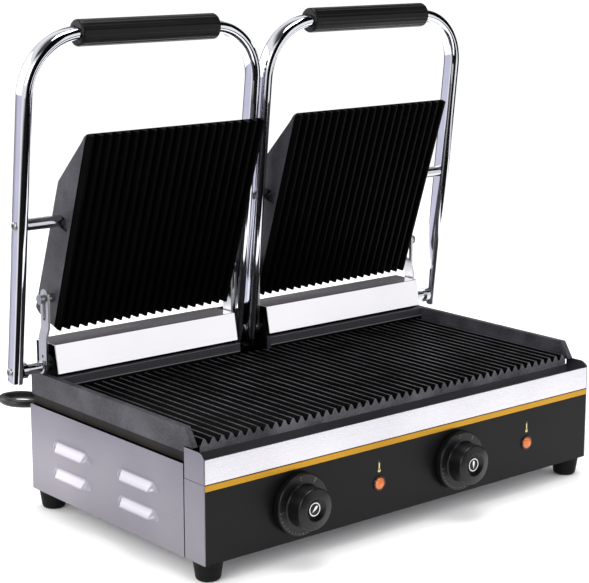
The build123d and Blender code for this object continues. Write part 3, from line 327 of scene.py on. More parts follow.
# Nylon 66: semi-matt black with fine cross ribs 2.6 mm apart that catch the light.
place = add(tree, "TexCoord").outputs["Object"]
ribs = add(tree, "TexWave", {"Scale": 120.0, "bands_direction": "Z", "Distortion": 0.0}, {0: place})
rough = add(tree, "TexNoise", {"Scale": 900.0}, {0: place})
rough = add(tree, "MapRange", {3: 0.4, 4: 0.6}, {0: rough.outputs[0]})
ridge = add(tree, "Bump", {"Strength": 0.4, "Distance": 0.0003}, {"Height": ribs.outputs[0]})
shade = add(tree, "BsdfPrincipled", {"Base Color": linear("151515"), "IOR": 1.53},
            {"Roughness": rough.outputs[0], "Normal": ridge.outputs[0]})
add(tree, "OutputMaterial", links={"Surface": shade.outputs[0]})


def dress(node, material):
    """Gives a solid that stays in sight its material."""
    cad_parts[node].data.materials.clear()
    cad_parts[node].data.materials.append(material)


dress("cord_tie", strap)


def plated(name, colour, low, high, grit, depth=0.00005):
    """A plated or bare bright metal with grains of a given size in millimetres in its gloss and level."""
    made, tree = new_material(name)
    place = add(tree, "TexCoord").outputs["Object"]
    grain = add(tree, "TexNoise", {"Scale": 1000.0 / grit, "Detail": 4.0}, {0: place})
    cloud = add(tree, "TexNoise", {"Scale": 45.0, "Detail": 2.0}, {0: place})
    gloss = add(tree, "MapRange", {3: low, 4: high}, {0: grain.outputs[0]})
    dark = tuple(0.82 * value for value in linear(colour)[:3]) + (1.0,)
    tint = add(tree, "Mix", {"data_type": "RGBA", 6: dark, 7: linear(colour)}, {0: cloud.outputs[0]})
    bump = add(tree, "Bump", {"Strength": 0.2, "Distance": depth}, {"Height": grain.outputs[0]})
    shade = add(tree, "BsdfPrincipled", {"Metallic": 1.0},
                {"Base Color": tint.outputs[2], "Roughness": gloss.outputs[0], "Normal": bump.outputs[0]})
    add(tree, "OutputMaterial", links={"Surface": shade.outputs[0]})
    return made


# Nickel-plated brass pins: bright and slightly yellow, with a soft bloom.
nickel = plated("brass pins, nickel plated", "d9d3c2", 0.14, 0.26, 0.6)
pin = [(62, 0), (62, 2.4), (87.4, 2.4), (88.5, 1.9), (89, 1.0), (89, 0)]
pins = [turned(pin, plug_start + (0, side, 0), (-1, 0, 0), 32) for side in (-9.5, 9.5)]
plug_pin_pair = piece("plug_pin_pair", "base", pins, [nickel], ("plug_pins",))

# The gland is a moulded elbow with a tapered boot, ribbed so that it bends with the lead.
boot = [(6, 0), (6, 7.0)]
for i in range(8):
    start = 8 + 5 * i
    boot += [(start, 6.9 - 0.24 * i), (start + 2.6, 6.8 - 0.24 * i), (start + 2.9, 5.9 - 0.22 * i),
             (start + 4.4, 5.9 - 0.22 * i)]
boot += [(boot_length - 0.4, 5.0), (boot_length, 4.6), (boot_length, 0)]
stem = [(-2.5, 0), (-2.5, 6.5), (0, 6.5), (0, 9), (2, 9), (2.5, 8.6), (2.5, 6.5), (gland_out, 6.5),
        (gland_out, 0)]
ball = [(-7.4 * cos(a), 7.4 * sin(a)) for a in np.linspace(0, pi, 17)]
gland = [turned(boot, elbow, heading, 40), turned(stem, (elbow[0], rear_y, elbow[2]), (0, 1, 0), 40),
         turned(ball, elbow, heading, 40)]
lead_gland = piece("lead_gland", "base", gland, [sheath], ("cord_gland",), sharp=40)

# Body panels
# Stainless sheet 1 mm thick, brushed on a belt along its length and folded. Four louvres are pressed out
# of each side: a hood with round ends, open below, with the sheared lip left sharp.


def brushed(name, pale, dark, stretch, low=0.26, high=0.42):
    """Belt-brushed stainless sheet; stretch gives the streaks per metre along X, Y and Z."""
    made, tree = new_material(name)
    place = add(tree, "TexCoord").outputs["Object"]
    # Belt marks are about 0.1 mm apart; they are drawn 0.7 mm apart, as fine as the render shows.
    drawn = add(tree, "Mapping", {"Scale": stretch}, {0: place}).outputs[0]
    streak = add(tree, "TexNoise", {"Scale": 1.0, "Detail": 5.0, "Roughness": 0.65}, {0: drawn})
    cloud = add(tree, "TexNoise", {"Scale": 7.0, "Detail": 2.0}, {0: place})
    level = add(tree, "Math", {"operation": "MULTIPLY_ADD", 1: 0.55},
                {0: streak.outputs[0], 2: cloud.outputs[0]})
    level = add(tree, "MapRange", {1: 0.45, 2: 1.1}, {0: level.outputs[0]})
    tint = add(tree, "Mix", {"data_type": "RGBA", 6: linear(dark), 7: linear(pale)}, {0: level.outputs[0]})
    gloss = add(tree, "MapRange", {1: 0.3, 2: 0.7, 3: low, 4: high}, {0: streak.outputs[0]})
    bump = add(tree, "Bump", {"Strength": 0.12, "Distance": 0.0001}, {"Height": streak.outputs[0]})
    shade = add(tree, "BsdfPrincipled", {"Metallic": 1.0, "Anisotropic": 0.35},
                {"Base Color": tint.outputs[2], "Roughness": gloss.outputs[0], "Normal": bump.outputs[0]})
    add(tree, "OutputMaterial", links={"Surface": shade.outputs[0]})
    return made


# Brushed grade 304: a cool grey with fine streaks that smear reflections across the grain. On the louvres'
# hoods the same sheet is painted paler, a painted highlight. The back has a plainer, greyer finish.
front_to_back, side_to_side = (1400.0, 9.0, 1400.0), (9.0, 1400.0, 1400.0)
steel_sides = brushed("stainless sheet, brushed front to back", "9b979f", "7b7881", front_to_back)
# Painted reflection: the tray front's copy of the sheet is painted near white.
steel_front_painted_bright = brushed("stainless sheet, brushed side to side, painted bright", "d8d6dc", "c0bec4", side_to_side, 0.2, 0.34)
steel_hood_highlight = brushed("stainless sheet, painted highlight on the hoods", "b4b1b9", "95929b", front_to_back)
steel_back = brushed("stainless sheet, plain mill finish", "a3a1a7", "89878d", side_to_side)


def thin_coat(name, dark, pale, roughness, scale, detail=2.0):
    """A coat too thin to have a relief: two tones in specks, at one roughness."""
    made, tree = new_material(name)
    place = add(tree, "TexCoord").outputs["Object"]
    speck = add(tree, "TexNoise", {"Scale": scale, "Detail": detail}, {0: place})
    tint = add(tree, "Mix", {"data_type": "RGBA", 6: linear(dark), 7: linear(pale)}, {0: speck.outputs[0]})
    shade = add(tree, "BsdfPrincipled", {"Roughness": roughness}, {"Base Color": tint.outputs[2]})
    add(tree, "OutputMaterial", links={"Surface": shade.outputs[0]})
    return made


# Painted shade: the faces that close each louvre's slot are near black, for the unlit inside of the body,
# with a little dust.
slot_painted_shade = thin_coat("painted shade across the louvre slots", "050505", "101011", 0.9, 300.0)

louvre_length, louvre_height, louvre_depth, louvre_end = 63.0, 10.5, 5.0, 10.0
louvre_middles = (front_y + 97, front_y + 203)
louvre_sills = (base_z + 22, base_z + 47)
panel_front, panel_top = front_y + 29.0, base_z + 83.5


def side_panel(side):
    """Panel face as a height field x = half + h, with each face's material: 1 painted shade in a slot, 2 a
    painted highlight on a hood.

    h = depth (1 - t^1.4)^1.8 with t^2 = (z / height)^2 + (end run)^2. z runs up from the louvre's sill and
    the end run grows from 0 to 1 over the last 10 mm of its length. At the sill the row of points is
    doubled, at h = 0 and at full h, which gives the sharp lip.
    """
    ys = list(np.linspace(panel_front, rear_y, 12))
    for middle in louvre_middles:
        ys += list(np.linspace(middle - louvre_length / 2, middle + louvre_length / 2, 85))
    ys = np.unique(np.round(ys, 4))
    zs = list(np.linspace(base_z, panel_top, 9))
    for sill in louvre_sills:
        zs += list(sill + louvre_height * np.linspace(0, 1, 15))
    zs = np.unique(np.round(zs, 4))
    rows, lip = [], []
    for z in zs:
        if z in louvre_sills:
            rows += [z, z]
            lip += [0, 1]
        else:
            rows.append(z)
            lip.append(1)
    rows, lip = np.array(rows)[:, None], np.array(lip)[:, None]
    h = np.zeros((len(rows), len(ys)))
    for middle in louvre_middles:
        end = np.clip((abs(ys - middle) - louvre_length / 2 + louvre_end) / louvre_end, 0, None)
        for sill in louvre_sills:
            t = np.sqrt(((rows - sill) / louvre_height) ** 2 + end**2)
            h += np.where(rows >= sill, louvre_depth * np.clip(1 - t**1.4, 0, None) ** 1.8, 0) * lip
    points = np.stack(np.broadcast_arrays(side * (half + h), ys[None, :], rows), axis=-1)
    over_lip = np.repeat(lip[1:, 0] > lip[:-1, 0], len(ys) - 1)
    rise = (h[:-1, :-1] + h[1:, :-1] + h[:-1, 1:] + h[1:, 1:]).ravel() / 4
    return grid(points), np.select([over_lip & (rise > 0.075), rise > 0.05], [1, 2], 0)


for side, name in ((-1, "left"), (1, "right")):
    shape, index = side_panel(side)
    panel = piece(name + "_louvred_side", "base", [shape], [steel_sides, slot_painted_shade, steel_hood_highlight],
                  (name + "_side_panel",), sharp=40, outward=(side, 0, 0), index=index)
    wall = panel.modifiers.new("sheet", "SOLIDIFY")
    wall.thickness = 0.001
    wall.offset = -1.0
    panel.modifiers.new("folds", "EDGE_SPLIT").split_angle = radians(40)


def softened(node, body, width, materials, segments=2, pick=None):
    """Makes a merged copy of a solid, its sharp edges rounded by a bevel of a given width in millimetres.

    Where pick is given, it turns the faces' middles and normals into material indices.
    """
    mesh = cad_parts[node].data.copy()
    mesh.name = node + "_edged"
    work = bmesh.new()
    work.from_mesh(mesh)
    bmesh.ops.remove_doubles(work, verts=work.verts, dist=2e-6)
    bmesh.ops.dissolve_limit(work, angle_limit=radians(0.4), verts=work.verts, edges=work.edges)
    bmesh.ops.recalc_face_normals(work, faces=work.faces)
    work.to_mesh(mesh)
    work.free()
    mesh.materials.clear()
    for material in materials:
        mesh.materials.append(material)
    mesh.shade_smooth()
    if pick is not None:
        count = len(mesh.polygons)
        middles, normals = np.empty(3 * count), np.empty(3 * count)
        mesh.polygons.foreach_get("center", middles)
        mesh.polygons.foreach_get("normal", normals)
        index = pick(1000 * middles.reshape(-1, 3), normals.reshape(-1, 3))
        mesh.polygons.foreach_set("material_index", index.astype(np.int32))
    made = into_scene(node + "_edged", mesh)
    edge = made.modifiers.new("edge", "BEVEL")
    edge.width = width / 1000
    edge.segments = segments
    edge.limit_method = "ANGLE"
    edge.angle_limit = radians(28)
    flat = made.modifiers.new("flat faces", "WEIGHTED_NORMAL")
    flat.weight = 90
    flat.keep_sharp = True
    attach(made, body)
    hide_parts(node)


softened("front_panel", "base", 0.35, [steel_sides])
dress("rear_panel", steel_back)
dress("bottom_pan", steel_back)

# Feet
# Four tapered feet of moulded black rubber, screwed up into the bottom pan from below.

# Moulded rubber: dull black, a little grey where it has rubbed, with a fine spark-eroded grain of 0.5 mm.
rubber = moulded("nitrile rubber, moulded", "050505", "0c0c0d", 0.5, 0.72, (90.0, 3.0), (2000.0, 2.0),
                 0.3, 0.0001, {"Specular IOR Level": 0.15})
# Bright zinc on the screws: pale grey with a fine frosting.
zinc = plated("steel screws, bright zinc", "aeafb2", 0.2, 0.38, 0.4)
foot = [(4, 2.2), (4, 4), (0.4, 4), (0, 4.4), (0, 8.2), (0.5, 9.6), (1.4, 10.6), (2.6, 11.1), (3.6, 11.3),
        (8, 11.95), (13.2, 12.75), (13.6, 12.6), (14.0, 12.85), (17.4, 13.45), (18, 13.2), (18, 0)]
foot_inset = 14
foot_xs, foot_ys = (foot_inset - half, half - foot_inset), (front_y + foot_inset, rear_y - foot_inset)
spots = [(x, y) for x in foot_xs for y in foot_ys]
feet = [turned(foot, (x, y, 0), (0, 0, 1), 48) for x, y in spots]
piece("rubber_feet", "base", feet, [rubber], ("feet",), sharp=40)


def screw_head(centre, out, radius, height, socket):
    """A button head with a hexagon socket: a dome profile turned, then hexagon rows going down into it."""
    rows = [(0, 0, 0), (0, radius, 0), (0.3 * height, radius, 0), (0.62 * height, 0.93 * radius, 0),
            (0.88 * height, 0.78 * radius, 0), (height, 0.6 * radius, 0), (height, 1.12 * socket, 0),
            (height, socket, 1), (0.3 * height, socket, 1), (0.25 * height, 0, 1)]
    rows = np.array(rows, float)
    return turned(rows[:, :2], centre, out, 48, sides=rows[:, 2] > 0)


heads = [screw_head((x, y, 4), (0, 0, -1), 3.8, 1.5, 1.8) for x, y in spots]
piece("foot_screw_heads", "base", heads, [zinc], ("foot_screws",))

# Control panel
# A black screen-printed sheet with a gilt line above it. Two thermostat knobs turn on it, and an orange
# lamp shows beside each of them.
fascia, tree = new_material("enamelled steel fascia, black")
# Stoved semi-gloss enamel: black with a faint orange peel 2 mm across, wiped to a slightly uneven gloss.
place = add(tree, "TexCoord").outputs["Object"]
peel = add(tree, "TexNoise", {"Scale": 480.0, "Detail": 2.0}, {0: place})
wipe = add(tree, "Mapping", {"Scale": (0.4, 1.0, 1.6)}, {0: place})
wipe = add(tree, "TexNoise", {"Scale": 14.0, "Detail": 3.0}, {0: wipe.outputs[0]})
gloss = add(tree, "MapRange", {3: 0.26, 4: 0.4}, {0: wipe.outputs[0]})
tint = add(tree, "Mix", {"data_type": "RGBA", 6: linear("080808"), 7: linear("121213")}, {0: wipe.outputs[0]})
bump = add(tree, "Bump", {"Strength": 0.06, "Distance": 0.0002}, {"Height": peel.outputs[0]})
shade = add(tree, "BsdfPrincipled", {"Specular IOR Level": 0.13},
            {"Base Color": tint.outputs[2], "Roughness": gloss.outputs[0], "Normal": bump.outputs[0]})
add(tree, "OutputMaterial", links={"Surface": shade.outputs[0]})
dress("control_fascia", fascia)

# The gilt line is anodised aluminium strip: a warm satin gold drawn lengthwise.
gilt = brushed("aluminium strip, gold anodised", "bd8f33", "a37724", side_to_side, 0.22, 0.36)
softened("trim_stripe", "base", 0.25, [gilt])

# Compression-moulded phenolic: deep glossy black with very fine flow marks and rubbed edges.
phenolic = moulded("phenolic knobs, moulded", "060606", "0f0f10", 0.26, 0.4, (220.0, 4.0), None, 0.05, 0.0002,
                   {"Specular IOR Level": 0.3})
# Pad-printed ink: a flat matt white, a little thin at places. The scale's ink is worn to a patchy grey.
ink = thin_coat("white pad-printed ink", "d6d6d6", "f6f6f4", 0.55, 1500.0)
faint_ink = thin_coat("grey pad-printed ink, rubbed", "4a4a4a", "a9a9a8", 0.6, 1100.0, 3.0)

knob_z, knob_xs = base_z + 34.3, {"left": -138.5, "right": 56.0}
# Distance in front of the panel and radius: the flat skirt, the cap, its sloping face, the dish and centre.
knob_line = [(0.8, 3), (0.8, 27.4), (1.1, 27.9), (1.6, 28), (7.3, 28), (7.9, 27.8), (8.25, 27.3), (8.3, 26.6),
             (8.3, 20.4), (8.5, 19.4), (9.1, 18.9), (10, 18.8), (22.8, 18.8), (23.7, 18.6), (24.3, 18.2),
             (24.6, 17.7), (25.6, 11.3), (25.75, 10.7), (25.6, 10.3), (25.2, 9.9), (23.2, 7.6), (22.8, 7.1),
             (22.7, 6.8), (22.7, 6.3), (23.15, 6.3), (23.3, 6.15), (23.3, 0)]


def disc(centre, radius, count=14):
    """A small flat printed disc facing the front: centre + r (cos a, 0, sin a), as a ring and its middle."""
    angle = 2 * pi * np.arange(count) / count
    ring = np.stack([np.cos(angle), 0 * angle, np.sin(angle)], axis=-1)
    return grid(np.array(centre, float) + np.array([radius, 0.0])[:, None, None] * ring, closed=True)


def printed_ring(centre, inner, outer):
    """A flat printed ring facing the front: rows at the inner and the outer radius."""
    angle = np.radians(np.linspace(0, 360, 64))
    ring = np.stack([np.cos(angle), 0 * angle, np.sin(angle)], axis=-1)
    return grid(np.array(centre, float) + np.array([inner, outer])[:, None, None] * ring)


pointer_turns = {"left": radians(-48), "right": 0.0}
skirt_print, disc_print = front_y - 8.34, front_y - 23.33
for name, x in knob_xs.items():
    knob = turned(knob_line, (x, front_y, knob_z), (0, -1, 0), 72)
    piece(name + "_dial", name + "_dial", [knob], [phenolic],
          (name + "_knob", name + "_knob_disc"), sharp=50)
    # A scale of fine dots at the lower left of the skirt, a short bar at each end of it and two at the top.
    marks = []
    for k in range(11):
        a = radians(186 + 9.2 * k)
        marks.append(disc((x + 26 * cos(a), skirt_print, knob_z + 26 * sin(a)), 0.42))
    for degrees, r, length in ((186, 22.8, 1.2), (226, 23.2, 1.0), (97, 23.4, 2.2), (57, 22.8, 3.0)):
        a = radians(degrees)
        for spot in np.linspace(r, r + length, 6):
            marks.append(disc((x + spot * cos(a), skirt_print, knob_z + spot * sin(a)), 0.5))
    piece(name + "_dial_scale", name + "_dial", marks, [faint_ink], outward=(0, -1, 0))
    marks = [printed_ring((x, disc_print, knob_z), 5.3, 6.1)]
    # The pointer is a drop 8 mm long: (1.35 cos a (1.1 + sin a) / 1.6, 4 sin a), turned about the centre.
    a = 2 * pi * np.arange(32) / 32
    outline = np.stack([1.35 * np.cos(a) * (1.1 + np.sin(a)) / 1.6, 0 * a, 4.0 * np.sin(a)], axis=-1)
    turn = pointer_turns[name]
    spin = np.array([[cos(turn), 0, -sin(turn)], [0, 1, 0], [sin(turn), 0, cos(turn)]])
    outline = np.stack([outline, 0 * outline]) @ spin.T + np.array([x, disc_print - 0.01, knob_z])
    marks.append(grid(outline, closed=True))
    piece(name + "_dial_marks", name + "_dial", marks, [ink], outward=(0, -1, 0))

lamp_z, lamp_xs = base_z + 31.3, (-42.0, 152.7)
acrylic, tree = new_material("orange acrylic lens, painted glow")
# Tinted acrylic over a neon: a saturated orange with a wet gloss and a slight painted glow.
place = add(tree, "TexCoord").outputs["Object"]
blotch = add(tree, "TexNoise", {"Scale": 700.0, "Detail": 2.0}, {0: place})
tint = add(tree, "Mix", {"data_type": "RGBA", 6: linear("b04a1c"), 7: linear("d98446")},
           {0: blotch.outputs[0]})
gloss = add(tree, "MapRange", {3: 0.08, 4: 0.2}, {0: blotch.outputs[0]})
shade = add(tree, "BsdfPrincipled", {"IOR": 1.49, "Coat Weight": 0.6, "Emission Strength": 0.12},
            {"Base Color": tint.outputs[2], "Roughness": gloss.outputs[0], "Emission Color": tint.outputs[2]})
add(tree, "OutputMaterial", links={"Surface": shade.outputs[0]})


def lens_shape(centre):
    """A ribbed dome: front = 2.9 (1 - r^2) + 0.9 cos(12 a) r^2 (1 - r^2), over polar rows of radius r."""
    lens_radius, lens_back = 5.35, 4.0
    r = np.linspace(0, 1, 18)[:, None]
    a = 2 * pi * np.arange(72)[None, :] / 72
    out = 2.9 * (1 - r**2) + 0.9 * np.cos(12 * a) * r**2 * (1 - r**2)
    points = np.stack([lens_radius * r * np.cos(a), -out - 1.5, lens_radius * r * np.sin(a)], axis=-1)
    skirt = np.stack([lens_radius * np.cos(a), lens_back + 0 * a, lens_radius * np.sin(a)], axis=-1)
    closing = np.stack([0 * a, lens_back + 0 * a, 0 * a], axis=-1)
    return grid(np.concatenate([points, skirt, closing]) + np.array(centre, float), closed=True)


domes = [lens_shape((x, front_y, lamp_z)) for x in lamp_xs]
piece("lamp_domes", "base", domes, [acrylic], ("lamp_lenses",), sharp=50)
bezel_brown, tree = new_material("lamp bezel, moulded nylon")
# Heat-proof nylon: a dark ox-blood brown, satin, a little paler where the mould was worn.
worn = add(tree, "TexNoise", {"Scale": 320.0, "Detail": 3.0}, {0: add(tree, "TexCoord").outputs["Object"]})
tint = add(tree, "Mix", {"data_type": "RGBA", 6: linear("1a0c09"), 7: linear("341711")}, {0: worn.outputs[0]})
gloss = add(tree, "MapRange", {3: 0.3, 4: 0.45}, {0: worn.outputs[0]})
shade = add(tree, "BsdfPrincipled", links={"Base Color": tint.outputs[2], "Roughness": gloss.outputs[0]})
add(tree, "OutputMaterial", links={"Surface": shade.outputs[0]})
bezel = [(-18, 0), (-18, 6), (0, 6), (0, 7), (0.8, 7), (1.3, 6.7), (1.4, 6.2), (1.3, 5.8), (0.9, 5.45),
         (-4.6, 5.45)]
rings = [turned(bezel, (x, front_y, lamp_z), (0, -1, 0), 48) for x in lamp_xs]
piece("lamp_rings", "base", rings, [bezel_brown], ("lamp_holders",), sharp=40)

# Screen-printed sign ink: a thin, slightly metallic straw colour.
pale_gold = thin_coat("pale gold screen print", "b3a468", "dccd95", 0.4, 1800.0)
signs, sign_y = [], front_y - 0.05
for x in lamp_xs:
    # A thermometer: a stem with a bulb at its foot and a small cap.
    signs.append(disc((x, sign_y, lamp_z + 12.2), 1.7, 24))
    for up, r in ((20.2, 0.75), (20.4, 0.75), (20.6, 0.7)):
        signs.append(disc((x, sign_y, lamp_z + up), r, 16))
    stem_x, stem_z = np.meshgrid([x - 0.75, x + 0.75], [lamp_z + 12.4, lamp_z + 20.4])
    signs.append(grid(np.stack([stem_x, np.full((2, 2), sign_y), stem_z], axis=-1)))
piece("lamp_signs", "base", signs, [pale_gold], outward=(0, -1, 0))

# Drip tray
# A folded stainless trough with a spot-welded cap at each end; it lifts by its front edge and draws out.

# The trough behind the front is painted shade: a darker copy of the sheet, a flat grey with little shine.
steel_trough_painted_shade = brushed("stainless sheet, painted shade in the trough", "a5a4a9", "858489", side_to_side, 0.45, 0.65)
# The front sheet is 1 mm thick, and its outer faces, painted bright, lie within this distance of the body's
# front.
strip_depth = 0.8


def tray_faces(middles, normals):
    """Painted shade (1) where a face lies behind the tray's front strip, which is painted bright."""
    return (middles[:, 1] > front_y + strip_depth).astype(int)


softened("drip_tray", "tray", 0.3, [steel_front_painted_bright, steel_trough_painted_shade], pick=tray_faces)
softened("tray_end_caps", "tray", 0.3, [steel_sides])

# Castings
# The lower plate and both upper plates are sand-cast iron. Their ribbed faces are ground and seasoned
# black by use, and the rest is sprayed with a dark heat-proof paint.


def casting(name, pale, dark, low, high, grit, strength, specular):
    """Sand-cast iron under paint or seasoning: two tones in clouds, a grain of grit mm and a soft gloss."""
    made, tree = new_material(name)
    place = add(tree, "TexCoord").outputs["Object"]
    sand = add(tree, "TexNoise", {"Scale": 1000.0 / grit, "Detail": 4.0, "Roughness": 0.6}, {0: place})
    cloud = add(tree, "TexNoise", {"Scale": 30.0, "Detail": 4.0}, {0: place})
    mixed = add(tree, "Math", {"operation": "MULTIPLY_ADD", 1: 1.2},
                {0: sand.outputs[0], 2: cloud.outputs[0]})
    mixed = add(tree, "MapRange", {1: 0.85, 2: 1.35}, {0: mixed.outputs[0]})
    tint = add(tree, "Mix", {"data_type": "RGBA", 6: linear(dark), 7: linear(pale)}, {0: mixed.outputs[0]})
    gloss = add(tree, "MapRange", {3: low, 4: high}, {0: sand.outputs[0]})
    bump = add(tree, "Bump", {"Strength": strength, "Distance": 0.0005}, {"Height": sand.outputs[0]})
    shade = add(tree, "BsdfPrincipled", {"Specular IOR Level": specular},
                {"Base Color": tint.outputs[2], "Roughness": gloss.outputs[0], "Normal": bump.outputs[0]})
    add(tree, "OutputMaterial", links={"Surface": shade.outputs[0]})
    return made


# Sprayed casting: dark violet grey, dull, with the sand's grain of 0.8 mm, drawn at 1.2 mm to show.
painted_iron = casting("cast iron, heat-proof paint", "4b4a51", "222126", 0.42, 0.6, 1.2, 0.6, 0.35)
# Seasoned face: burnt-on oil, near black, with a low greasy shine; the crests of the ribs carry a painted
# highlight.
seasoned_iron = casting("cast iron, seasoned face", "040404", "010101", 0.45, 0.65, 1.2, 0.5, 0.05)

# Painted highlight on the crests: a thin grey line, specked with black.
crest_highlight_iron = casting("cast iron, painted highlight on crests", "4c4b4f", "0a0a0b", 0.3, 0.5, 1.6, 0.4, 0.3)
# The skirt under the walls: a dull dark brown, painted shade under the walls above it.
skirt_shade_iron = casting("cast iron, painted shade on the skirt", "26221f", "0f0e0d", 0.5, 0.65, 1.2, 0.4, 0.2)
# Painted light on the front: the ends of the ribs and the web under them, which face forwards, a paler grey.
front_lit_iron = casting("cast iron, painted light on rib ends", "68676d", "38373c", 0.4, 0.55, 1.2, 0.4, 0.35)

# Heights in the lower plate: its skirt's top, the ribs' crests, the painted highlight line above them and the
# wall's top.
skirt_top, rib_top, lit_line_z, wall_top = 110.5, 122.0, 124.8, 133.0
wall_inner, rear_wall = 232.0, rear_y - 41

rear_wall_painted_light, tree = new_material("cast iron, rear wall, painted shade and highlights")
# The wall above the ribs' far ends, all painted light: a dark grey band of painted shade down to a painted
# highlight line, and a black painted shadow under it. A second highlight line runs along the wall's top: the
# folded height is 0 at both, and a line fades over 0.7 mm.
place = add(tree, "TexCoord").outputs["Object"]
sand = add(tree, "TexNoise", {"Scale": 900.0, "Detail": 4.0}, {0: place})
rise = add(tree, "SeparateXYZ", links={0: place}).outputs["Z"]
out_of_shadow = add(tree, "MapRange", {1: lit_line_z / 1000, 2: (lit_line_z + 0.4) / 1000}, {0: rise})
above = add(tree, "Math", {"operation": "SUBTRACT", 1: lit_line_z / 1000}, {0: rise})
folded = add(tree, "Math", {"operation": "PINGPONG", 1: (wall_top - lit_line_z) / 2000}, {0: above.outputs[0]})
line = add(tree, "MapRange", {1: 0.0, 2: 0.0007, 3: 1.0, 4: 0.0}, {0: folded.outputs[0]})
grey = add(tree, "Mix", {"data_type": "RGBA", 6: linear("1c1c20"), 7: linear("46464b")}, {0: sand.outputs[0]})
tint = add(tree, "Mix", {"data_type": "RGBA", 6: linear("040404")}, {0: out_of_shadow.outputs[0], 7: grey.outputs[2]})
tint = add(tree, "Mix", {"data_type": "RGBA", 7: linear("77777b")}, {0: line.outputs[0], 6: tint.outputs[2]})
gloss = add(tree, "MapRange", {3: 0.45, 4: 0.65}, {0: sand.outputs[0]})
shade = add(tree, "BsdfPrincipled", {"Specular IOR Level": 0.1},
            {"Base Color": tint.outputs[2], "Roughness": gloss.outputs[0]})
add(tree, "OutputMaterial", links={"Surface": shade.outputs[0]})


def lower_faces(middles, normals):
    """Seasoned (1) from the skirt to the crests between the walls, a paler copy as painted light (4) where
    that faces forwards.

    Faces of that part that look straight up at the height of the crests get a painted highlight (2). The rear
    wall's inner face gets painted shade and highlight lines (5), and the skirt under the walls painted shade
    (3).
    """
    inside = (abs(middles[:, 0]) < wall_inner + 0.2) & (middles[:, 1] < rear_wall + 0.2)
    low = inside & (middles[:, 2] < rib_top + 0.3) & (middles[:, 2] > skirt_top)
    front = low & (normals[:, 1] < -0.7) & (middles[:, 1] < rear_wall - 0.2)
    back = inside & (middles[:, 1] > rear_wall - 0.2) & (normals[:, 1] < -0.9)
    crest = low & (normals[:, 2] > 0.9) & (middles[:, 2] > rib_top - 0.5)
    return np.select([middles[:, 2] < skirt_top, back, crest, front, low], [3, 5, 2, 4, 1], 0)


irons = [painted_iron, seasoned_iron, crest_highlight_iron, skirt_shade_iron, front_lit_iron, rear_wall_painted_light]
softened("lower_plate", "base", 0.45, irons, pick=lower_faces)

# Each upper plate hangs on a rod rod_reach up its handle's arms. The left lid is 0.8 degrees lower, and its
# plate follows the arms by the linkage's ratio.
hinge_y, hinge_z, rod_reach, tilt_ratio = 124.2, 140.0, 140.4, 0.10094
arm_lean = {"left": 6.9, "right": 6.1}
plate_lean = {"left": 17.8 + 0.8 * (1 - tilt_ratio), "right": 17.8}
rod_to_crests, seasoned_depth = 23.3, 5.4
# Galvanised sheet: pale grey with a cloudy spangle of about 3 mm.
sheet_zinc = casting("galvanised sheet", "8e9093", "76787b", 0.38, 0.55, 3.0, 0.1, 0.6)
for name in ("left", "right"):
    arm, lean = radians(arm_lean[name]), radians(plate_lean[name])
    rod = np.array([hinge_y - rod_reach * sin(arm), hinge_z + rod_reach * cos(arm)])
    outwards = np.array([cos(lean), sin(lean)])
    rib_plane = rod @ outwards - rod_to_crests

    def upper_faces(middles, normals, outwards=outwards, rib_plane=rib_plane):
        """Seasoned (1) where a face is less than seasoned_depth behind the plane of the ribs' crests."""
        return (middles[:, 1:] @ outwards - rib_plane < seasoned_depth).astype(int)

    softened(name + "_upper_plate", name + "_lid", 0.45, [painted_iron, seasoned_iron],
             pick=upper_faces)
    softened(name + "_back_cover", name + "_lid", 0.4, [sheet_zinc])

# Hinge housings
# Two long covers bent from stainless sheet hide the hinge shafts and their springs; between them a plate
# stands behind the middle legs, painted black as the shade inside the covers.

# Painted shade: the brackets and the covers' inner side are near black, for the shade inside the covers. The
# covers' satin sheet is painted near white, a painted reflection of a lamp as one even white.
painted_shade_black = casting("painted shade, black, brackets and cover linings", "0b0b0c", "040404", 0.3, 0.45, 1.5, 0.08, 0.2)
cover_sheet_painted_white = brushed("stainless sheet, satin covers, painted reflection", "f8f6fa", "eae8ec", side_to_side, 0.14, 0.24)


def cover_faces(middles, normals):
    """Black painted shade (1) on the inner side of the folded sheet, and greyer (2) where it looks out of the
    back.
    """
    forward = middles[:, 1] < rear_y - 20
    backwards = normals[:, 1] > 0.6
    inner_side = (normals[:, 2] < -0.6) | (forward & backwards) | (~forward & (normals[:, 1] < -0.6))
    return np.select([inner_side, ~forward & backwards], [1, 2], 0)


for name in ("left", "right"):
    softened(name + "_hinge_cover", "base", 0.4, [cover_sheet_painted_white, painted_shade_black, steel_back],
             segments=3, pick=cover_faces)
# The brackets are painted black, as painted shade inside the covers' open ends.
softened("hinge_brackets", "base", 0.4, [painted_shade_black])

# Handle frames
# One flat oval steel tube for each lid, bent into a U, polished and chromed. A black grip is pushed
# over its top, a rod crosses it behind the plate, and button-head screws hold the rod and the shaft.

# Bright chrome mirrors the tent almost sharply: cool white with hard dark stripes. Turned bar is softer.
chrome = plated("steel tube, bright chrome", "e4e5ec", 0.035, 0.075, 1.2, 0.00002)
turned_bar = plated("steel bar, turned and polished", "cfd0d6", 0.08, 0.16, 0.8)
tube_wide, tube_deep, tube_bend, grip_reach = 18.0, 11.0, 54.5, 312.6
leg_x, middle_leg_x, tail = -266.0, -8.8, 9.8


def on_arm(points, name):
    """Places points (x, n, s) of the left lid, s up the arm and n behind it; the right lid mirrors them."""
    lean = radians(arm_lean[name])
    x, n, s = points[..., 0], points[..., 1], points[..., 2]
    y = hinge_y - s * sin(lean) + n * cos(lean)
    z = hinge_z + s * cos(lean) + n * sin(lean)
    return np.stack([x if name == "left" else -x, y, z], axis=-1)


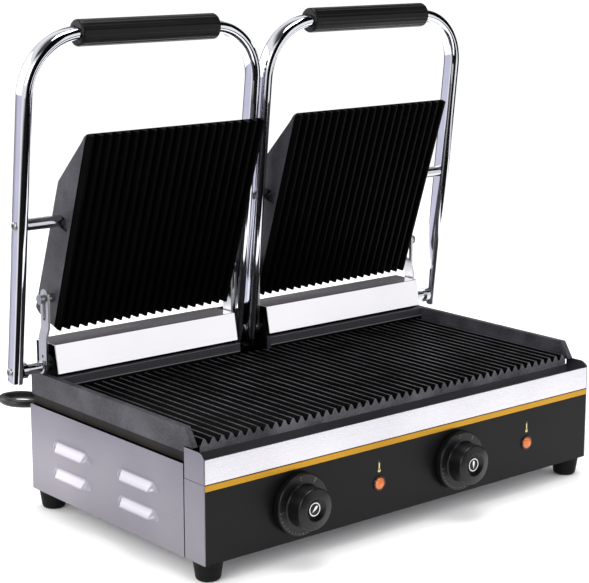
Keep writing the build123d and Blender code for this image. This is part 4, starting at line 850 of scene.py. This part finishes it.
def tube_shape(name):
    """A flat oval carried round the U: path + p e + n, e across the path in the lid's plane.

    The oval is p = 5.5 cos a and n = 5.5 sin a + 3.5 tanh(40 sin a), whose flat sides are 7 mm long. Past
    both ends it shrinks over 1.7 mm to a point, which makes the rounded plug. The legs' first two rows
    are 1 mm apart, so that the plug's shading doesn't run up them.
    """
    leg_rows, around = 13, 44
    quarter = np.linspace(0, pi / 2, 22)
    low_x, high_x, top = leg_x + tube_bend, middle_leg_x - tube_bend, grip_reach - tube_bend
    legs = np.append(-tail, np.linspace(1 - tail, top, leg_rows))[:-1]
    path = [np.stack([np.full(leg_rows, leg_x), legs], axis=-1)]
    path.append(np.stack([low_x - tube_bend * np.cos(quarter), top + tube_bend * np.sin(quarter)], axis=-1))
    path.append(np.stack([high_x + tube_bend * np.sin(quarter), top + tube_bend * np.cos(quarter)], axis=-1))
    path.append(np.stack([np.full(leg_rows, middle_leg_x), legs[::-1]], axis=-1))
    path = np.concatenate(path)
    turn = np.concatenate([np.full(leg_rows, pi / 2), pi / 2 - quarter, -quarter, np.full(leg_rows, -pi / 2)])
    ends = np.array([(1.0, 0.0), (0.96, 0.6), (0.8, 1.2), (0.5, 1.6), (0.0, 1.7)])
    scale = np.concatenate([ends[:0:-1, 0], np.ones(len(path)), ends[1:, 0]])
    first = path[0] - np.array([0, 1]) * ends[:0:-1, 1:]
    last = path[-1] - np.array([0, 1]) * ends[1:, 1:]
    path = np.concatenate([first, path, last])
    turn = np.concatenate([np.full(4, pi / 2), turn, np.full(4, -pi / 2)])
    angle = 2 * pi * np.arange(around) / around
    across = tube_deep / 2 * np.cos(angle)
    deep = tube_deep / 2 * np.sin(angle) + (tube_wide - tube_deep) / 2 * np.tanh(40 * np.sin(angle))
    e = np.stack([-np.sin(turn), np.cos(turn)], axis=-1)[:, None, :]
    flat = path[:, None, :] + scale[:, None, None] * across[None, :, None] * e
    points = np.stack([flat[..., 0], scale[:, None] * deep[None, :], flat[..., 1]], axis=-1)
    return grid(on_arm(points, name), closed=True)


grip_radius, grip_half, grip_middle = 12.3, 77.0, (leg_x + middle_leg_x) / 2
# Moulded ABS: black, satin, with a spark-eroded grain of 0.4 mm drawn at 0.8 mm and handling shine.
reed_plastic = moulded("ABS grip, moulded", "0a0a0b", "151517", 0.28, 0.46, (25.0, 3.0), (1200.0, 2.0),
                       0.12, 0.0001, {"Specular IOR Level": 0.2})
reeds_round, reed_depth = 20, 0.3


def grip_shape(name):
    """A reeded grip: radius = R - 0.3 (0.5 - 0.5 cos 20 a) along it, smaller over the end rounding.

    The end faces run in to the oval bore, whose edge in direction a is worked out from the oval.
    """
    around = 160
    a = 2 * pi * np.arange(around) / around
    rounding = np.linspace(0, pi / 2, 7)
    along = np.concatenate([[5.0, 0, 0], 2 - 2 * np.cos(rounding), [6], np.linspace(8, grip_half, 6)])
    shrink = np.concatenate([[0, 0, 0], 2 - 2 * np.sin(rounding), np.zeros(7)])
    reeds = np.concatenate([np.zeros(3), np.full(7, 0.5), [1.0], np.ones(6)])
    reeding = reed_depth * (0.5 - 0.5 * np.cos(reeds_round * a))
    outer = grip_radius - shrink[:, None] - reeds[:, None] * reeding
    rho, flat = tube_deep / 2 + 0.3, (tube_wide - tube_deep) / 2
    c, s = abs(np.cos(a)), np.maximum(abs(np.sin(a)), 1e-6)
    bore = np.where(rho * c / s <= flat, rho / s, flat * c + np.sqrt(np.maximum(rho**2 - (flat * s) ** 2, 0)))
    outer[0], outer[1] = bore, bore
    outer[2] = bore + 0.5
    x = np.concatenate([along - grip_half, (grip_half - along)[::-1]])
    radius = np.concatenate([outer, outer[::-1]])
    points = np.stack([grip_middle + np.repeat(x[:, None], around, axis=1), radius * np.cos(a),
                       grip_reach + radius * np.sin(a)], axis=-1)
    return grid(on_arm(points, name), closed=True)


for name in ("left", "right"):
    body = name + "_frame"
    piece(name + "_frame_tube", body, [tube_shape(name)], [chrome],
          (name + "_handle_tube",), sharp=60)
    piece(name + "_reeded_grip", body, [grip_shape(name)], [reed_plastic],
          (name + "_grip",), sharp=50)
    heads = []
    for s in (0.0, rod_reach):
        for face, out in ((leg_x - tube_deep / 2, -1), (middle_leg_x + tube_deep / 2, 1)):
            out = out if name == "left" else -out
            centre = on_arm(np.array([face, 0.0, s]), name)
            heads.append(screw_head(centre, (out, 0, 0), 4.6, 1.8, 2.1))
    piece(name + "_frame_screws", body, heads, [zinc], (name + "_arm_screws",))
    for node in ("_cross_rod", "_hinge_shaft", "_shaft_collars"):
        dress(name + node, turned_bar)

# Guide links and the parts inside
# Stamped steel links, zinc plated, each with a slot that rides on a bolt in the casting's side. Springs,
# heating elements, thermostats and the shield are bought-in parts, seen only with covers off.

# The links' zinc is satin: light grey with a soft sheen.
link_zinc = plated("stamped steel links, zinc plated", "c9c9cc", 0.28, 0.44, 0.6)
for name in ("left", "right"):
    softened(name + "_guide_links", name + "_links", 0.3, [link_zinc])
    softened(name + "_link_bolts", name + "_lid", 0.25, [zinc])
    softened(name + "_back_cover_screws", name + "_lid", 0.25, [zinc])
softened("bracket_screws", "base", 0.3, [zinc])

# Spring wire is a brown grey, the elements' sheath a heat-dulled olive grey, and the cases pale zinc.
spring_wire = plated("oil-tempered spring wire", "6e6a66", 0.28, 0.42, 0.5)
sheath_metal = plated("nickel-alloy element sheath", "6b6e68", 0.38, 0.55, 0.7)
switch_case = casting("thermostat case, zinc sheet", "9fa1a4", "86888b", 0.35, 0.5, 2.0, 0.1, 0.6)
inner = {"left_spring": spring_wire, "right_spring": spring_wire, "lower_elements": sheath_metal,
         "left_upper_element": sheath_metal, "right_upper_element": sheath_metal, "thermostats": switch_case,
         "heat_shield": sheet_zinc, "left_knob_shaft": turned_bar, "right_knob_shaft": turned_bar}
for node, material in inner.items():
    dress(node, material)
